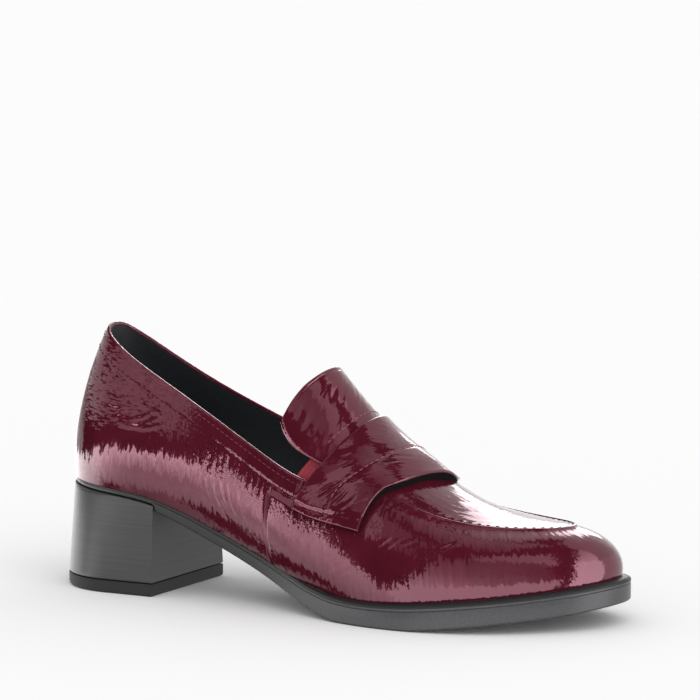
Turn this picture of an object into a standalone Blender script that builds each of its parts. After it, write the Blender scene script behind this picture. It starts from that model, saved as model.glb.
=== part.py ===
"""Loafer pump on a block heel, right foot, as an assembly of named solids.

The shoe is drawn round its last. Each section across the foot gives the feather
line (where upper meets sole), the rim (topline behind, apron seam in front) and
how full the wall between them is. Upper, strap, tongue, gores, insole, sole and
heel are all cut from those same curves, so they fit one another.
X runs from heel to toe, the outer side of the foot is at -Y and Z is up. Sizes
are in millimetres, and the section tables are shares of the driving dimensions.
"""

import bpy
import numpy as np

MM = 0.001
UP = np.array([0.0, 0.0, 1.0])

# Driving dimensions of the last.
LENGTH = 242.5
BALL_WIDTH = 72.0
INSTEP_HEIGHT = 74.6
HEEL_HEIGHT = 44.6

# Thicknesses, and the clearance between neighbouring pieces.
GAP = 0.3
LEATHER = 1.8
STRAP_THICKNESS = 2.2
ELASTIC = 1.0
INSOLE = 2.0
HEEL_SEAT = 2.0
TOP_PIECE = 5.3

# Heel block: a half ellipse behind its widest line, straight sides in front of it.
BREAST_X = 52.5
BREAST_HALF_WIDTH = 28.2
HEEL_BACK_X = -0.4
HEEL_WIDEST_X = 29.0
HEEL_HALF_WIDTH = 29.0
HEEL_CURVE_SHARE = 0.62
HEEL_OUTSET = 0.2
TOP_PIECE_EDGE = 0.7
TOP_PIECE_TAPER = 0.02

# Strap: where it crosses the rim, where its ends lie on the wall (x, z), how far its
# front stands off the foot, and over which shares of its width it rises to that.
STRAP_REAR_X = 126.5
STRAP_FRONT_X = 158.5
STRAP_REAR_END = (122.0, 42.8)
STRAP_FRONT_END = (154.0, 36.2)
STRAP_LIFT = 2.0
STRAP_RISE_FROM = 0.1
STRAP_RISE_TO = 0.8

# Apron edge under the strap, tongue and gores.
APRON_REAR_X = 131.0
TONGUE_INSET = 0.06
TONGUE_UNDER_STRAP = 0.23
TONGUE_ARCH = 0.6
TONGUE_SPREAD = 0.94
TONGUE_TIP_ROUND = 0.24
GORE_REAR_X = 116.5
GORE_FRONT_X = 129.0
GORE_ON_TONGUE = 0.38
GORE_CLEAR = 1.0
GORE_LOW_EDGE = 0.9
GORE_HIGH_EDGE = 0.8

# Sole edge: depth share, and how far it draws in as a share of the depth there.
SOLE_EDGE = ((0.0, 0.09), (0.1, 0.0), (0.88, 0.0), (1.0, 0.1))


def table(scales, rows):
    """Return a section table's columns by name, each times its driving dimension."""
    values = np.array(list(rows.values()), float) * np.array(list(scales.values()))
    return dict(zip(scales, values.T))


# Feather line: half widths are from the heel's own centre line. Ledge is how far
# the sole stands out, and tread is the height of its underside.
FEATHER = table({"x": LENGTH, "lateral": BALL_WIDTH, "medial": BALL_WIDTH,
                 "height": HEEL_HEIGHT, "tread": HEEL_HEIGHT, "ledge": 1.0}, {
    "heel back": (0.006, 0.0, 0.0, 1.0, 0.955, -0.6),
    "heel curve": (0.029, 0.194, 0.194, 0.996, 0.951, -0.6),
    "heel side": (0.099, 0.338, 0.338, 0.973, 0.924, -0.6),
    "breast": (0.206, 0.367, 0.350, 0.906, 0.807, -0.6),
    "arch": (0.330, 0.356, 0.278, 0.679, 0.547, -0.4),
    "waist": (0.445, 0.397, 0.278, 0.446, 0.287, -0.2),
    "fore waist": (0.553, 0.472, 0.361, 0.265, 0.049, 1.6),
    "ball": (0.660, 0.521, 0.472, 0.220, -0.022, 3.4),
    "joint": (0.763, 0.493, 0.535, 0.260, 0.020, 4.0),
    "toes": (0.858, 0.375, 0.528, 0.314, 0.085, 4.2),
    "toe side": (0.936, 0.194, 0.451, 0.368, 0.146, 4.2),
    "toe curve": (0.984, 0.0, 0.319, 0.408, 0.193, 4.2),
    "toe tip": (1.0, -0.167, 0.167, 0.426, 0.213, 4.2),
})

# Rim of the wall: topline as far as the throat, apron seam in front of it.
RIM = table({"x": LENGTH, "lateral": BALL_WIDTH, "medial": BALL_WIDTH,
             "lateral_height": INSTEP_HEIGHT, "medial_height": INSTEP_HEIGHT}, {
    "heel back": (0.072, 0.0, 0.0, 1.448, 1.448),
    "heel curve": (0.080, 0.118, 0.118, 1.421, 1.421),
    "heel side": (0.128, 0.215, 0.215, 1.327, 1.307),
    "breast": (0.208, 0.264, 0.271, 1.193, 1.153),
    "arch": (0.322, 0.326, 0.312, 1.015, 0.979),
    "waist": (0.429, 0.361, 0.361, 0.831, 0.831),
    "fore waist": (0.528, 0.389, 0.389, 0.710, 0.731),
    "ball": (0.631, 0.354, 0.389, 0.690, 0.684),
    "joint": (0.726, 0.312, 0.375, 0.594, 0.570),
    "toes": (0.812, 0.215, 0.361, 0.531, 0.520),
    "toe side": (0.878, 0.090, 0.299, 0.516, 0.512),
    "toe curve": (0.915, -0.035, 0.222, 0.513, 0.513),
    "toe tip": (0.926, -0.139, 0.139, 0.512, 0.512),
})

# How the wall swells: out and up from the feather line, out and down from the rim.
FULLNESS = table({"low_out": 1.0, "low_up": 1.0, "high_out": 1.0, "high_down": 1.0}, {
    "heel back": (0.5, 18.0, 9.0, 18.0),
    "heel curve": (2.0, 18.0, 9.0, 18.0),
    "heel side": (5.0, 17.0, 8.0, 18.0),
    "breast": (7.5, 16.0, 7.0, 17.0),
    "arch": (9.0, 15.0, 6.0, 15.0),
    "waist": (9.5, 14.0, 5.0, 13.0),
    "fore waist": (8.0, 13.0, 6.0, 11.0),
    "ball": (6.0, 13.0, 9.0, 8.0),
    "joint": (5.0, 12.0, 10.0, 6.0),
    "toes": (4.5, 11.0, 10.0, 3.0),
    "toe side": (4.0, 10.0, 9.5, 1.5),
    "toe curve": (4.0, 10.0, 9.5, 1.0),
    "toe tip": (4.0, 10.0, 9.5, 1.0),
})

# Ridge over the foot at each rim station, and how square its arch is. Behind the
# waist it only leads the curve in.
RIDGE = table({"x": LENGTH, "height": INSTEP_HEIGHT, "arch": 1.0}, {
    "heel back": (0.072, 1.448, 1.0),
    "heel curve": (0.080, 1.448, 1.0),
    "heel side": (0.128, 1.448, 1.0),
    "breast": (0.208, 1.448, 1.0),
    "arch": (0.363, 1.394, 0.8),
    "waist": (0.499, 1.260, 0.7),
    "fore waist": (0.587, 1.0, 0.7),
    "ball": (0.676, 0.764, 0.75),
    "joint": (0.753, 0.625, 0.9),
    "toes": (0.823, 0.550, 1.0),
    "toe side": (0.882, 0.527, 1.0),
    "toe curve": (0.916, 0.517, 1.0),
    "toe tip": (0.926, 0.512, 1.0),
})

# Tongue behind the strap: its ridge, how far its edges drop back and down, its half width.
TONGUE = table({"along": 1.0, "ridge_x": LENGTH, "ridge_z": INSTEP_HEIGHT,
                "drop_x": 1.0, "drop_z": 1.0, "half_width": BALL_WIDTH}, {
    "middle": (0.59, 0.541, 1.161, 14.5, 15.5, 0.325),
    "tip": (1.0, 0.504, 1.286, 10.5, 13.0, 0.299),
})

# Finishes: linear colour and roughness.
PATENT = ((0.115, 0.012, 0.022), 0.12)
SOLE_RUBBER = ((0.045, 0.045, 0.047), 0.5)
HEEL_STACK = ((0.055, 0.055, 0.056), 0.42)
TOP_RUBBER = ((0.03, 0.03, 0.031), 0.65)
ELASTIC_RED = ((0.22, 0.012, 0.022), 0.85)
LINING_BLACK = ((0.012, 0.012, 0.013), 0.55)


def station_knots():
    """Place the sections from 0 at the heel to 1 at the toe by plan distance."""
    half = (FEATHER["lateral"] + FEATHER["medial"]) / 2
    step = np.hypot(np.diff(FEATHER["x"]), np.diff(half))
    return np.insert(np.cumsum(step), 0, 0.0) / step.sum()


KNOTS = station_knots()


def closed_spline(knot, value, period, t):
    """Evaluate the smooth closed cubic through value at knot, at parameters t."""
    count = len(knot)
    span = np.diff(np.append(knot, knot[0] + period))
    slope = (np.roll(value, -1) - value) / span
    before = np.roll(span, 1)
    row = np.arange(count)
    matrix = np.zeros((count, count))
    matrix[row, row - 1] = span
    matrix[row, row] = 2 * (before + span)
    matrix[row, (row + 1) % count] = before
    tangent = np.linalg.solve(matrix, 3 * (span * np.roll(slope, 1) + before * slope))
    t = np.mod(np.asarray(t, float) - knot[0], period) + knot[0]
    i = np.clip(np.searchsorted(knot, t, side="right") - 1, 0, count - 1)
    j = (i + 1) % count
    u = (t - knot[i]) / span[i]
    ends = (1 + 2 * u) * (1 - u) ** 2 * value[i] + u * u * (3 - 2 * u) * value[j]
    return ends + span[i] * (u * (1 - u) ** 2 * tangent[i] + u * u * (u - 1) * tangent[j])


def round_foot(lateral, medial, t):
    """Follow two columns round the foot: t 0 to 1 on the lateral side, 2 to 1 on the medial."""
    knot = np.concatenate([KNOTS, 2 - KNOTS[-2:0:-1]])
    return closed_spline(knot, np.concatenate([lateral, medial[-2:0:-1]]), 2.0, t)


def both_sides(column, t):
    """Follow a column that both sides of the foot share."""
    return round_foot(column, column, t)


def feather(t):
    """Return points of the feather line."""
    y = round_foot(-FEATHER["lateral"], FEATHER["medial"], t)
    return np.stack([both_sides(FEATHER["x"], t), y, both_sides(FEATHER["height"], t)], -1)


def rim(t):
    """Return points of the topline and apron seam."""
    y = round_foot(-RIM["lateral"], RIM["medial"], t)
    z = round_foot(RIM["lateral_height"], RIM["medial_height"], t)
    return np.stack([both_sides(RIM["x"], t), y, z], -1)


def outward(t):
    """Return level unit vectors out of the feather line."""
    near = 1e-3
    step = feather(np.asarray(t) + near) - feather(np.asarray(t) - near)
    out = np.stack([step[..., 1], -step[..., 0], 0 * step[..., 0]], -1)
    return out / np.linalg.norm(out, axis=-1, keepdims=True)


def wall(t, v):
    """Return points of the upper's outside: v 0 at the feather line, 1 at the rim."""
    t, v = np.broadcast_arrays(np.asarray(t, float), np.asarray(v, float))
    size = {name: both_sides(column, t)[..., None] for name, column in FULLNESS.items()}
    out = outward(t)
    low, high = feather(t) + GAP * UP, rim(t)
    swell = low + out * size["low_out"] + UP * size["low_up"]
    lean = high + out * size["high_out"] - UP * size["high_down"]
    v = v[..., None]
    ends = (1 - v) ** 3 * low + v ** 3 * high
    return ends + 3 * v * (1 - v) ** 2 * swell + 3 * v ** 2 * (1 - v) * lean


def apron(s, w):
    """Return points over the foot from the lateral rim, w 0, to the medial rim, w 1."""
    s, w = np.broadcast_arrays(np.asarray(s, float), np.asarray(w, float))
    lateral, medial = rim(s), rim(2 - s)
    middle = (lateral + medial) / 2
    ridge = np.stack([both_sides(RIDGE["x"], s), middle[..., 1], both_sides(RIDGE["height"], s)], -1)
    arch = np.clip(4 * w * (1 - w), 0, 1) ** both_sides(RIDGE["arch"], s)
    w = w[..., None]
    return (1 - w) * lateral + w * medial + arch[..., None] * (ridge - middle)


def station_of(column, x):
    """Find the station whose column value is x."""
    s = np.linspace(0, 1, 2001)
    return float(np.interp(x, both_sides(column, s), s))


def place_on_wall(x, z):
    """Find the station and the share up the lateral wall of the point at x and z."""
    reach = 20.0
    v = np.linspace(0, 1, 401)
    stations = np.linspace(station_of(RIM["x"], x - reach), station_of(RIM["x"], x + reach), 81)
    lines = [wall(s, v) for s in stations]
    s = float(np.interp(x, [np.interp(z, line[:, 2], line[:, 0]) for line in lines], stations))
    return np.array([s, np.interp(z, wall(s, v)[:, 2], v)])


def paired(s):
    """Return the stations right round the foot, lateral side first, from stations heel to toe."""
    return np.concatenate([s, 2 - s[-2:0:-1]])


def grid_normals(points):
    """Return unit normals of a grid of points, pointing away from the foot."""
    normal = np.cross(np.gradient(points, axis=0), np.gradient(points, axis=1))
    normal /= np.linalg.norm(normal, axis=-1, keepdims=True)
    middle = (points.shape[0] // 2, points.shape[1] // 2)
    from_foot = points[middle] * (0.0, 1.0, 0.0) + UP * LENGTH / 12
    return normal if normal[middle] @ from_foot > 0 else -normal


def grid_skin(points):
    """Return a grid of points as a skin whose faces point away from the foot."""
    rows, columns, _ = points.shape
    i, j = np.meshgrid(np.arange(rows - 1), np.arange(columns - 1), indexing="ij")
    first = (i * columns + j).ravel()
    faces = np.stack([first, first + columns, first + columns + 1, first + 1], 1)
    turned = np.cross(points[1, 0] - points[0, 0], points[0, 1] - points[0, 0])
    if turned @ grid_normals(points)[0, 0] < 0:
        faces = faces[:, ::-1]
    return points.reshape(-1, 3), faces.tolist()


def ring_faces(rows, count):
    """Return the quads between rings of points stored ring by ring."""
    step = np.arange(count)
    after = (step + 1) % count
    quads = np.stack([step, after, count + after, count + step], 1)
    return [(row * count + quad).tolist() for row in range(rows - 1) for quad in quads]


def slab(rings):
    """Close a stack of outlines, top to bottom, with level strips between paired points."""
    rows, count, _ = rings.shape
    faces = [face[::-1] for face in ring_faces(rows, count)]
    for i in range(count // 2):
        corner = [i, i + 1, (count - i - 1) % count, (count - i) % count]
        corner = list(dict.fromkeys(corner))
        faces.append(corner)
        faces.append([(rows - 1) * count + k for k in reversed(corner)])
    return rings.reshape(-1, 3), faces


def upper_skin():
    """Return the outside of the upper: the wall all round and the apron in front."""
    behind, before, rows, columns = 21, 21, 10, 12
    throat = station_of(RIM["x"], APRON_REAR_X)
    s = np.concatenate([np.linspace(0, throat, behind + 1), np.linspace(throat, 1, before + 1)[1:]])
    t = paired(s)
    count, tip = len(t), len(s) - 1
    points = wall(t[None, :], np.linspace(0, 1, rows)[:, None]).reshape(-1, 3)
    faces = ring_faces(rows, count)
    top, start, inner = (rows - 1) * count, len(points), columns - 2
    lines = apron(s[behind:tip, None], np.linspace(0, 1, columns)[None, 1:-1])
    points = np.concatenate([points, lines.reshape(-1, 3)])
    strips = []
    for i in range(behind, tip):
        first = start + (i - behind) * inner
        strips.append([top + i, *range(first, first + inner), top + count - i])
    for near, far in zip(strips, strips[1:]):
        faces += [[near[k], far[k], far[k + 1], near[k + 1]] for k in range(columns - 1)]
    last = strips[-1]
    faces += [[last[k], top + tip, last[k + 1]] for k in range(columns - 1)]
    return points, faces


def strap_skin():
    """Return the outside of the strap, raised off the upper it lies on."""
    rear, front = station_of(RIM["x"], STRAP_REAR_X), station_of(RIM["x"], STRAP_FRONT_X)
    rear_end, front_end = place_on_wall(*STRAP_REAR_END), place_on_wall(*STRAP_FRONT_END)
    up = np.linspace(0, 1, 7)
    over = np.linspace(0, 1, 17)[1:-1]
    rows, lift = [], []
    for part in np.linspace(0, 1, 9):
        top = rear + part * (front - rear)
        end = rear_end + part * (front_end - rear_end)
        s = end[0] + up * (top - end[0])
        v = end[1] + up * (1 - end[1])
        rows.append(np.concatenate([wall(s, v), apron(top, over), wall(2 - s, v)[::-1]]))
        share = np.clip((part - STRAP_RISE_FROM) / (STRAP_RISE_TO - STRAP_RISE_FROM), 0, 1)
        rise = np.sin(0.5 * np.pi * share) ** 2
        lift.append(rise * np.concatenate([up ** 2, np.ones(len(over)), up[::-1] ** 2]))
    points = np.array(rows)
    raised = GAP + STRAP_THICKNESS + STRAP_LIFT * np.array(lift)
    return grid_skin(points + grid_normals(points) * raised[..., None])


def tongue(u, along):
    """Return points of the tongue: u -1 to 1 across it, along 0 at its foot to 1 at its tip.

    The foot and the line behind the strap lie on the apron's surface, the rest follows
    the tongue's own rows, and each line of points along it is the cubic through the four.
    """
    u, along = np.broadcast_arrays(np.asarray(u, float), np.asarray(along, float))
    foot = station_of(RIM["x"], APRON_REAR_X - 1.5 * GAP)
    behind = station_of(RIM["x"], STRAP_REAR_X - GAP)
    share = TONGUE_INSET + (1 - 2 * TONGUE_INSET) * (u + 1) / 2
    rows = [apron(foot, share), apron(behind, share)]
    arch = 1 - (1 - (TONGUE_SPREAD * u) ** 2) ** TONGUE_ARCH
    arch /= 1 - (1 - TONGUE_SPREAD ** 2) ** TONGUE_ARCH
    for i in range(len(TONGUE["along"])):
        row = {name: column[i] for name, column in TONGUE.items()}
        x = row["ridge_x"] - row["drop_x"] * arch
        z = row["ridge_z"] - row["drop_z"] * arch
        rows.append(np.stack([x, row["half_width"] * u, z], -1))
    knot = np.concatenate([[0.0, TONGUE_UNDER_STRAP], TONGUE["along"]])
    point = np.zeros_like(rows[0])
    for i, row in enumerate(rows):
        others = np.delete(knot, i)
        weight = np.prod((along[..., None] - others) / (knot[i] - others), axis=-1)
        point += weight[..., None] * row
    return point


def tongue_skin():
    """Return the outside of the tongue, its tip rounded off."""
    u = np.linspace(-1, 1, 17)[None, :]
    along = np.linspace(0, 1, 11)[:, None] * (1 - TONGUE_TIP_ROUND * np.abs(u) ** 5)
    return grid_skin(tongue(u, along))


def inside(points, near, side, depth):
    """Move a line of points through a skin, to its inner side, along the skin's normals."""
    normal = np.cross(near - points, np.gradient(points, axis=0))
    normal /= np.linalg.norm(normal, axis=1, keepdims=True)
    return points - normal * np.sign(normal[:, 1:2] * side) * depth


def gore_skin(side):
    """Return the outside of one gore, from inside the quarter to under the tongue's edge."""
    share = np.linspace(0, 1, 7)
    rear, front = station_of(RIM["x"], GORE_REAR_X), station_of(RIM["x"], GORE_FRONT_X)
    s = rear + share * (front - rear)
    t = s if side < 0 else 2 - s
    along = GORE_ON_TONGUE * (1 - share)
    clear, near = LEATHER + GAP, 0.06
    low = inside(wall(t, GORE_LOW_EDGE), wall(t, GORE_LOW_EDGE + near), side, clear + GORE_CLEAR + GAP)
    edge, beside = GORE_HIGH_EDGE * side, (GORE_HIGH_EDGE + near) * side
    high = inside(tongue(edge, along), tongue(beside, along), side, clear + 0.5 * GAP)
    return grid_skin(np.array([low + k * (high - low) for k in np.linspace(0, 1, 6)]))


def sole_underside(t, seat):
    """Return the height of the sole's underside: flat under the ball, thin on the heel seat."""
    tread = np.maximum(both_sides(FEATHER["tread"], t), 0.0)
    return np.where(seat, both_sides(FEATHER["height"], t) - HEEL_SEAT, tread)


def sole_rings():
    """Return the sole's outlines from its top edge down, with a step at the heel breast."""
    breast, step = station_of(FEATHER["x"], BREAST_X + GAP), 0.1 / LENGTH
    s = np.concatenate([np.linspace(0, breast - step, 12), np.linspace(breast + step, 1, 34)])
    t = paired(s)
    line, out = feather(t), outward(t)
    ledge = both_sides(FEATHER["ledge"], t)
    depth = line[:, 2] - sole_underside(t, np.minimum(t, 2 - t) < breast)
    rings = []
    for down, inset in SOLE_EDGE:
        rings.append(line + out * (ledge - inset * depth)[:, None] - UP * (down * depth)[:, None])
    return np.array(rings)


def insole_rings():
    """Return the insole's outlines, just inside the upper's wall."""
    t = paired(np.linspace(0, 1, 36))
    low = feather(t) - outward(t) * (LEATHER + 2 * GAP) + UP * GAP
    return np.array([low + UP * INSOLE, low])


def heel_shares():
    """Return places round the heel: 0 at the back, -1 and 1 at the breast corners."""
    half = np.linspace(0, 1, 19)
    return np.concatenate([-half, half[:0:-1]])


def heel_tread(share):
    """Return the heel's outline on the ground."""
    turn = np.clip(np.abs(share) / HEEL_CURVE_SHARE, 0, 1) * np.pi / 2
    straight = np.clip((np.abs(share) - HEEL_CURVE_SHARE) / (1 - HEEL_CURVE_SHARE), 0, 1)
    x = HEEL_WIDEST_X - (HEEL_WIDEST_X - HEEL_BACK_X) * np.cos(turn) + straight * (BREAST_X - HEEL_WIDEST_X)
    half = HEEL_HALF_WIDTH * np.sin(turn) + straight * (BREAST_HALF_WIDTH - HEEL_HALF_WIDTH)
    return np.stack([x, np.sign(share) * half, np.zeros_like(x)], -1)


def heel_rings():
    """Return the heel block's outlines, from the heel seat down to the top piece."""
    share = heel_shares()
    t = np.mod(-share * station_of(FEATHER["x"], BREAST_X), 2.0)
    seat = feather(t) + outward(t) * HEEL_OUTSET
    seat[:, 0] = np.minimum(seat[:, 0], BREAST_X)
    seat[:, 2] = sole_underside(t, True) - GAP
    low = heel_tread(share) + UP * (TOP_PIECE + GAP)
    return np.array([seat + k * (low - seat) for k in (0.0, 0.5, 1.0)])


def top_piece_rings():
    """Return the top piece's outlines, down to the ground."""
    outline = heel_tread(heel_shares())
    centre = np.array([HEEL_WIDEST_X, 0.0, 0.0])
    foot = outline - TOP_PIECE_TAPER * (outline - centre)
    return np.array([outline + UP * TOP_PIECE, outline + UP * TOP_PIECE_EDGE, foot])


def finish(name, colour, roughness):
    """Make a plain surface finish."""
    material = bpy.data.materials.new(name)
    material.use_nodes = True
    shader = material.node_tree.nodes["Principled BSDF"]
    shader.inputs["Base Color"].default_value = (*colour, 1.0)
    shader.inputs["Roughness"].default_value = roughness
    shader.inputs["Metallic"].default_value = 0.0
    material.diffuse_color = (*colour, 1.0)
    return material


def add_piece(name, shape, look, thickness, origin):
    """Add one piece. A skin gets its thickness on its inner side, and a slab is solid already."""
    points, faces = shape
    mesh = bpy.data.meshes.new(name)
    mesh.from_pydata(((points - origin) * MM).tolist(), [], faces)
    mesh.materials.append(finish(name + "_finish", *look))
    mesh.shade_smooth()
    mesh.set_sharp_from_angle(angle=np.radians(35))
    piece = bpy.data.objects.new(name, mesh)
    bpy.context.scene.collection.objects.link(piece)
    if thickness:
        solidify = piece.modifiers.new("thickness", "SOLIDIFY")
        solidify.thickness = thickness * MM
        solidify.offset = -1.0
        solidify.use_rim = True


def build():
    """Make every piece, with the origin on the ground under the middle of the whole shoe."""
    pieces = {
        "upper": (upper_skin(), PATENT, LEATHER),
        "tongue": (tongue_skin(), PATENT, LEATHER),
        "saddle_strap": (strap_skin(), PATENT, STRAP_THICKNESS),
        "gore_lateral": (gore_skin(-1.0), ELASTIC_RED, ELASTIC),
        "gore_medial": (gore_skin(1.0), ELASTIC_RED, ELASTIC),
        "insole": (slab(insole_rings()), LINING_BLACK, 0.0),
        "outsole": (slab(sole_rings()), SOLE_RUBBER, 0.0),
        "heel_block": (slab(heel_rings()), HEEL_STACK, 0.0),
        "heel_top_piece": (slab(top_piece_rings()), TOP_RUBBER, 0.0),
    }
    every = np.concatenate([shape[0] for shape, _, _ in pieces.values()])
    low, high = every.min(axis=0), every.max(axis=0)
    origin = np.array([(low[0] + high[0]) / 2, (low[1] + high[1]) / 2, low[2]])
    for name, (shape, look, thickness) in pieces.items():
        add_piece(name, shape, look, thickness, origin)


for old in list(bpy.data.objects):
    bpy.data.objects.remove(old, do_unlink=True)
build()
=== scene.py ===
"""Looks of a loafer pump on a block heel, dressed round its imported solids.

The shoe is drawn from the sections of its last, in millimetres and in its own frame:
X runs from heel to toe, the outer side of the foot is at -Y and Z is up. Each panel is
a surface of two parameters, with its seams, folds and turned edges as relief along the
surface's normal, and each edge, stitch and sole is a profile carried along a path.
"""

import logging
from collections.abc import Callable, Mapping, Sequence
from dataclasses import dataclass, field
from enum import Enum
from typing import Any

import bmesh
import bpy
import numpy as np
from mathutils import Matrix, Vector


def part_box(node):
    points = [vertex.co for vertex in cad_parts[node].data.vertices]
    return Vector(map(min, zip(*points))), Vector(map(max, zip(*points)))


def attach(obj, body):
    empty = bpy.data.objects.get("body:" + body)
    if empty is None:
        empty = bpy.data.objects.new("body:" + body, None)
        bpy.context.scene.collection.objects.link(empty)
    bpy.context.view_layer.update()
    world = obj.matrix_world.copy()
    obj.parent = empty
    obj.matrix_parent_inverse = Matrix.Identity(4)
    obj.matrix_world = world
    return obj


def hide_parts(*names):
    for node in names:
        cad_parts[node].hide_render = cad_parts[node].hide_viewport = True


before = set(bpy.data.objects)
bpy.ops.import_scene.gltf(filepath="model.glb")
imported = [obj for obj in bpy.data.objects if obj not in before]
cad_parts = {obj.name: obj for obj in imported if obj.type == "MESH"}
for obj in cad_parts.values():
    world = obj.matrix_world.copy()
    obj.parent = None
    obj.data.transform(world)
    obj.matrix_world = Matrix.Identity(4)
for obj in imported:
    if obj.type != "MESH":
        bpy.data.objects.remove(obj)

Array = np.ndarray
Rows = Mapping[str, tuple[float, ...]]
Pair = tuple[float, float]
Triple = tuple[float, float, float]
Corners = tuple[Triple, ...]
Path = tuple[Array, Array]

LOG = logging.getLogger("loafer_pump")
MM = 0.001
UP = np.array([0.0, 0.0, 1.0])
BODY = "root"
CHART_MM = 100.0  # one unit of a pattern map is this many millimetres
NEAR = 1e-3  # a small step of a parameter, for a slope
MERGE = 1e-6  # points closer than this many metres are one
EDGE_POINTS = 6  # points round a rounded edge


class Slot(Enum):
    """The record's material slots."""

    PATENT = "patent_leather"
    ELASTIC = "elastic"
    LINING = "lining"
    SOLE = "sole"
    STACK = "heel_stack"
    RUBBER = "heel_rubber"


class Side(Enum):
    """The two sides of the foot, by the sign of Y there."""

    LATERAL = -1.0
    MEDIAL = 1.0


# Feather line: half widths are from the heel's own centre line. Ledge is how far the
# sole stands out, and tread is the height of its underside.
FEATHER_ROWS: Rows = {
    "heel back": (0.006, 0.0, 0.0, 1.0, 0.955, -0.6),
    "heel curve": (0.029, 0.194, 0.194, 0.996, 0.951, -0.6),
    "heel side": (0.099, 0.338, 0.338, 0.973, 0.924, -0.6),
    "breast": (0.206, 0.367, 0.350, 0.906, 0.807, -0.6),
    "arch": (0.330, 0.356, 0.278, 0.679, 0.547, -0.4),
    "waist": (0.445, 0.397, 0.278, 0.446, 0.287, -0.2),
    "fore waist": (0.553, 0.472, 0.361, 0.265, 0.049, 1.6),
    "ball": (0.660, 0.521, 0.472, 0.220, -0.022, 3.4),
    "joint": (0.763, 0.493, 0.535, 0.260, 0.020, 4.0),
    "toes": (0.858, 0.375, 0.528, 0.314, 0.085, 4.2),
    "toe side": (0.936, 0.194, 0.451, 0.368, 0.146, 4.2),
    "toe curve": (0.984, 0.0, 0.319, 0.408, 0.193, 4.2),
    "toe tip": (1.0, -0.167, 0.167, 0.426, 0.213, 4.2),
}

# Rim of the wall: topline as far as the throat, apron seam in front of it.
RIM_ROWS: Rows = {
    "heel back": (0.072, 0.0, 0.0, 1.448, 1.448),
    "heel curve": (0.080, 0.118, 0.118, 1.421, 1.421),
    "heel side": (0.128, 0.215, 0.215, 1.327, 1.307),
    "breast": (0.208, 0.264, 0.271, 1.193, 1.153),
    "arch": (0.322, 0.326, 0.312, 1.015, 0.979),
    "waist": (0.429, 0.361, 0.361, 0.831, 0.831),
    "fore waist": (0.528, 0.389, 0.389, 0.710, 0.731),
    "ball": (0.631, 0.354, 0.389, 0.690, 0.684),
    "joint": (0.726, 0.312, 0.375, 0.594, 0.570),
    "toes": (0.812, 0.215, 0.361, 0.531, 0.520),
    "toe side": (0.878, 0.090, 0.299, 0.516, 0.512),
    "toe curve": (0.915, -0.035, 0.222, 0.513, 0.513),
    "toe tip": (0.926, -0.139, 0.139, 0.512, 0.512),
}

# How the wall swells: out and up from the feather line, out and down from the rim.
FULLNESS_ROWS: Rows = {
    "heel back": (0.5, 18.0, 9.0, 18.0),
    "heel curve": (2.0, 18.0, 9.0, 18.0),
    "heel side": (5.0, 17.0, 8.0, 18.0),
    "breast": (7.5, 16.0, 7.0, 17.0),
    "arch": (9.0, 15.0, 6.0, 15.0),
    "waist": (9.5, 14.0, 5.0, 13.0),
    "fore waist": (8.0, 13.0, 6.0, 11.0),
    "ball": (6.0, 13.0, 9.0, 8.0),
    "joint": (5.0, 12.0, 10.0, 6.0),
    "toes": (4.5, 11.0, 10.0, 3.0),
    "toe side": (4.0, 10.0, 9.5, 1.5),
    "toe curve": (4.0, 10.0, 9.5, 1.0),
    "toe tip": (4.0, 10.0, 9.5, 1.0),
}

# Ridge over the foot at each rim station, and how square its arch is.
RIDGE_ROWS: Rows = {
    "heel back": (0.072, 1.448, 1.0),
    "heel curve": (0.080, 1.448, 1.0),
    "heel side": (0.128, 1.448, 1.0),
    "breast": (0.208, 1.448, 1.0),
    "arch": (0.363, 1.394, 0.8),
    "waist": (0.499, 1.260, 0.7),
    "fore waist": (0.587, 1.0, 0.7),
    "ball": (0.676, 0.764, 0.75),
    "joint": (0.753, 0.625, 0.9),
    "toes": (0.823, 0.550, 1.0),
    "toe side": (0.882, 0.527, 1.0),
    "toe curve": (0.916, 0.517, 1.0),
    "toe tip": (0.926, 0.512, 1.0),
}

# Tongue behind the strap: along, its ridge, how far its edges drop back and down, half width.
TONGUE_ROWS: Rows = {
    "middle": (0.59, 0.541, 1.161, 14.5, 15.5, 0.325),
    "tip": (1.0, 0.504, 1.286, 10.5, 13.0, 0.299),
}


def smooth_step(value: Array, low: float, high: float) -> Array:
    """Rise smoothly from 0 at low to 1 at high."""
    share = np.clip((value - low) / (high - low), 0.0, 1.0)
    return share * share * (3.0 - 2.0 * share)


def bell(distance: Array, width: float | Array) -> Array:
    """Give a soft ridge of height 1: a bell curve of the distance over the width."""
    return np.exp(-((distance / width) ** 2))


def unit(vectors: Array) -> Array:
    """Scale vectors to length 1."""
    return vectors / np.maximum(np.linalg.norm(vectors, axis=-1, keepdims=True), 1e-12)


def lengths_along(points: Array, axis: int) -> Array:
    """Give each point's distance along the line of points that runs on this axis.

    Args:
        points: Points on a line or a grid.
        axis: The axis that the lines run on.

    Returns:
        Distances from each line's first point.
    """
    step = np.linalg.norm(np.diff(points, axis=axis), axis=-1)
    first = np.zeros_like(np.take(step, [0], axis=axis))
    return np.concatenate([first, np.cumsum(step, axis=axis)], axis=axis)


def graded(length: float, step: float, edge: float) -> Array:
    """Share out a length in even steps, with finer ones within a rounded edge at both ends.

    Args:
        length: The length, in millimetres.
        step: The even step.
        edge: The width of each rounded edge.

    Returns:
        Shares from 0 to 1.
    """
    fine = edge * (1.0 - np.cos(np.linspace(0.0, np.pi / 2, EDGE_POINTS)))
    count = max(4, int(round((length - 2 * edge) / step)) + 1)
    even = np.linspace(edge, length - edge, count)
    return np.concatenate([fine[:-1], even, length - fine[-2::-1]]) / length


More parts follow.
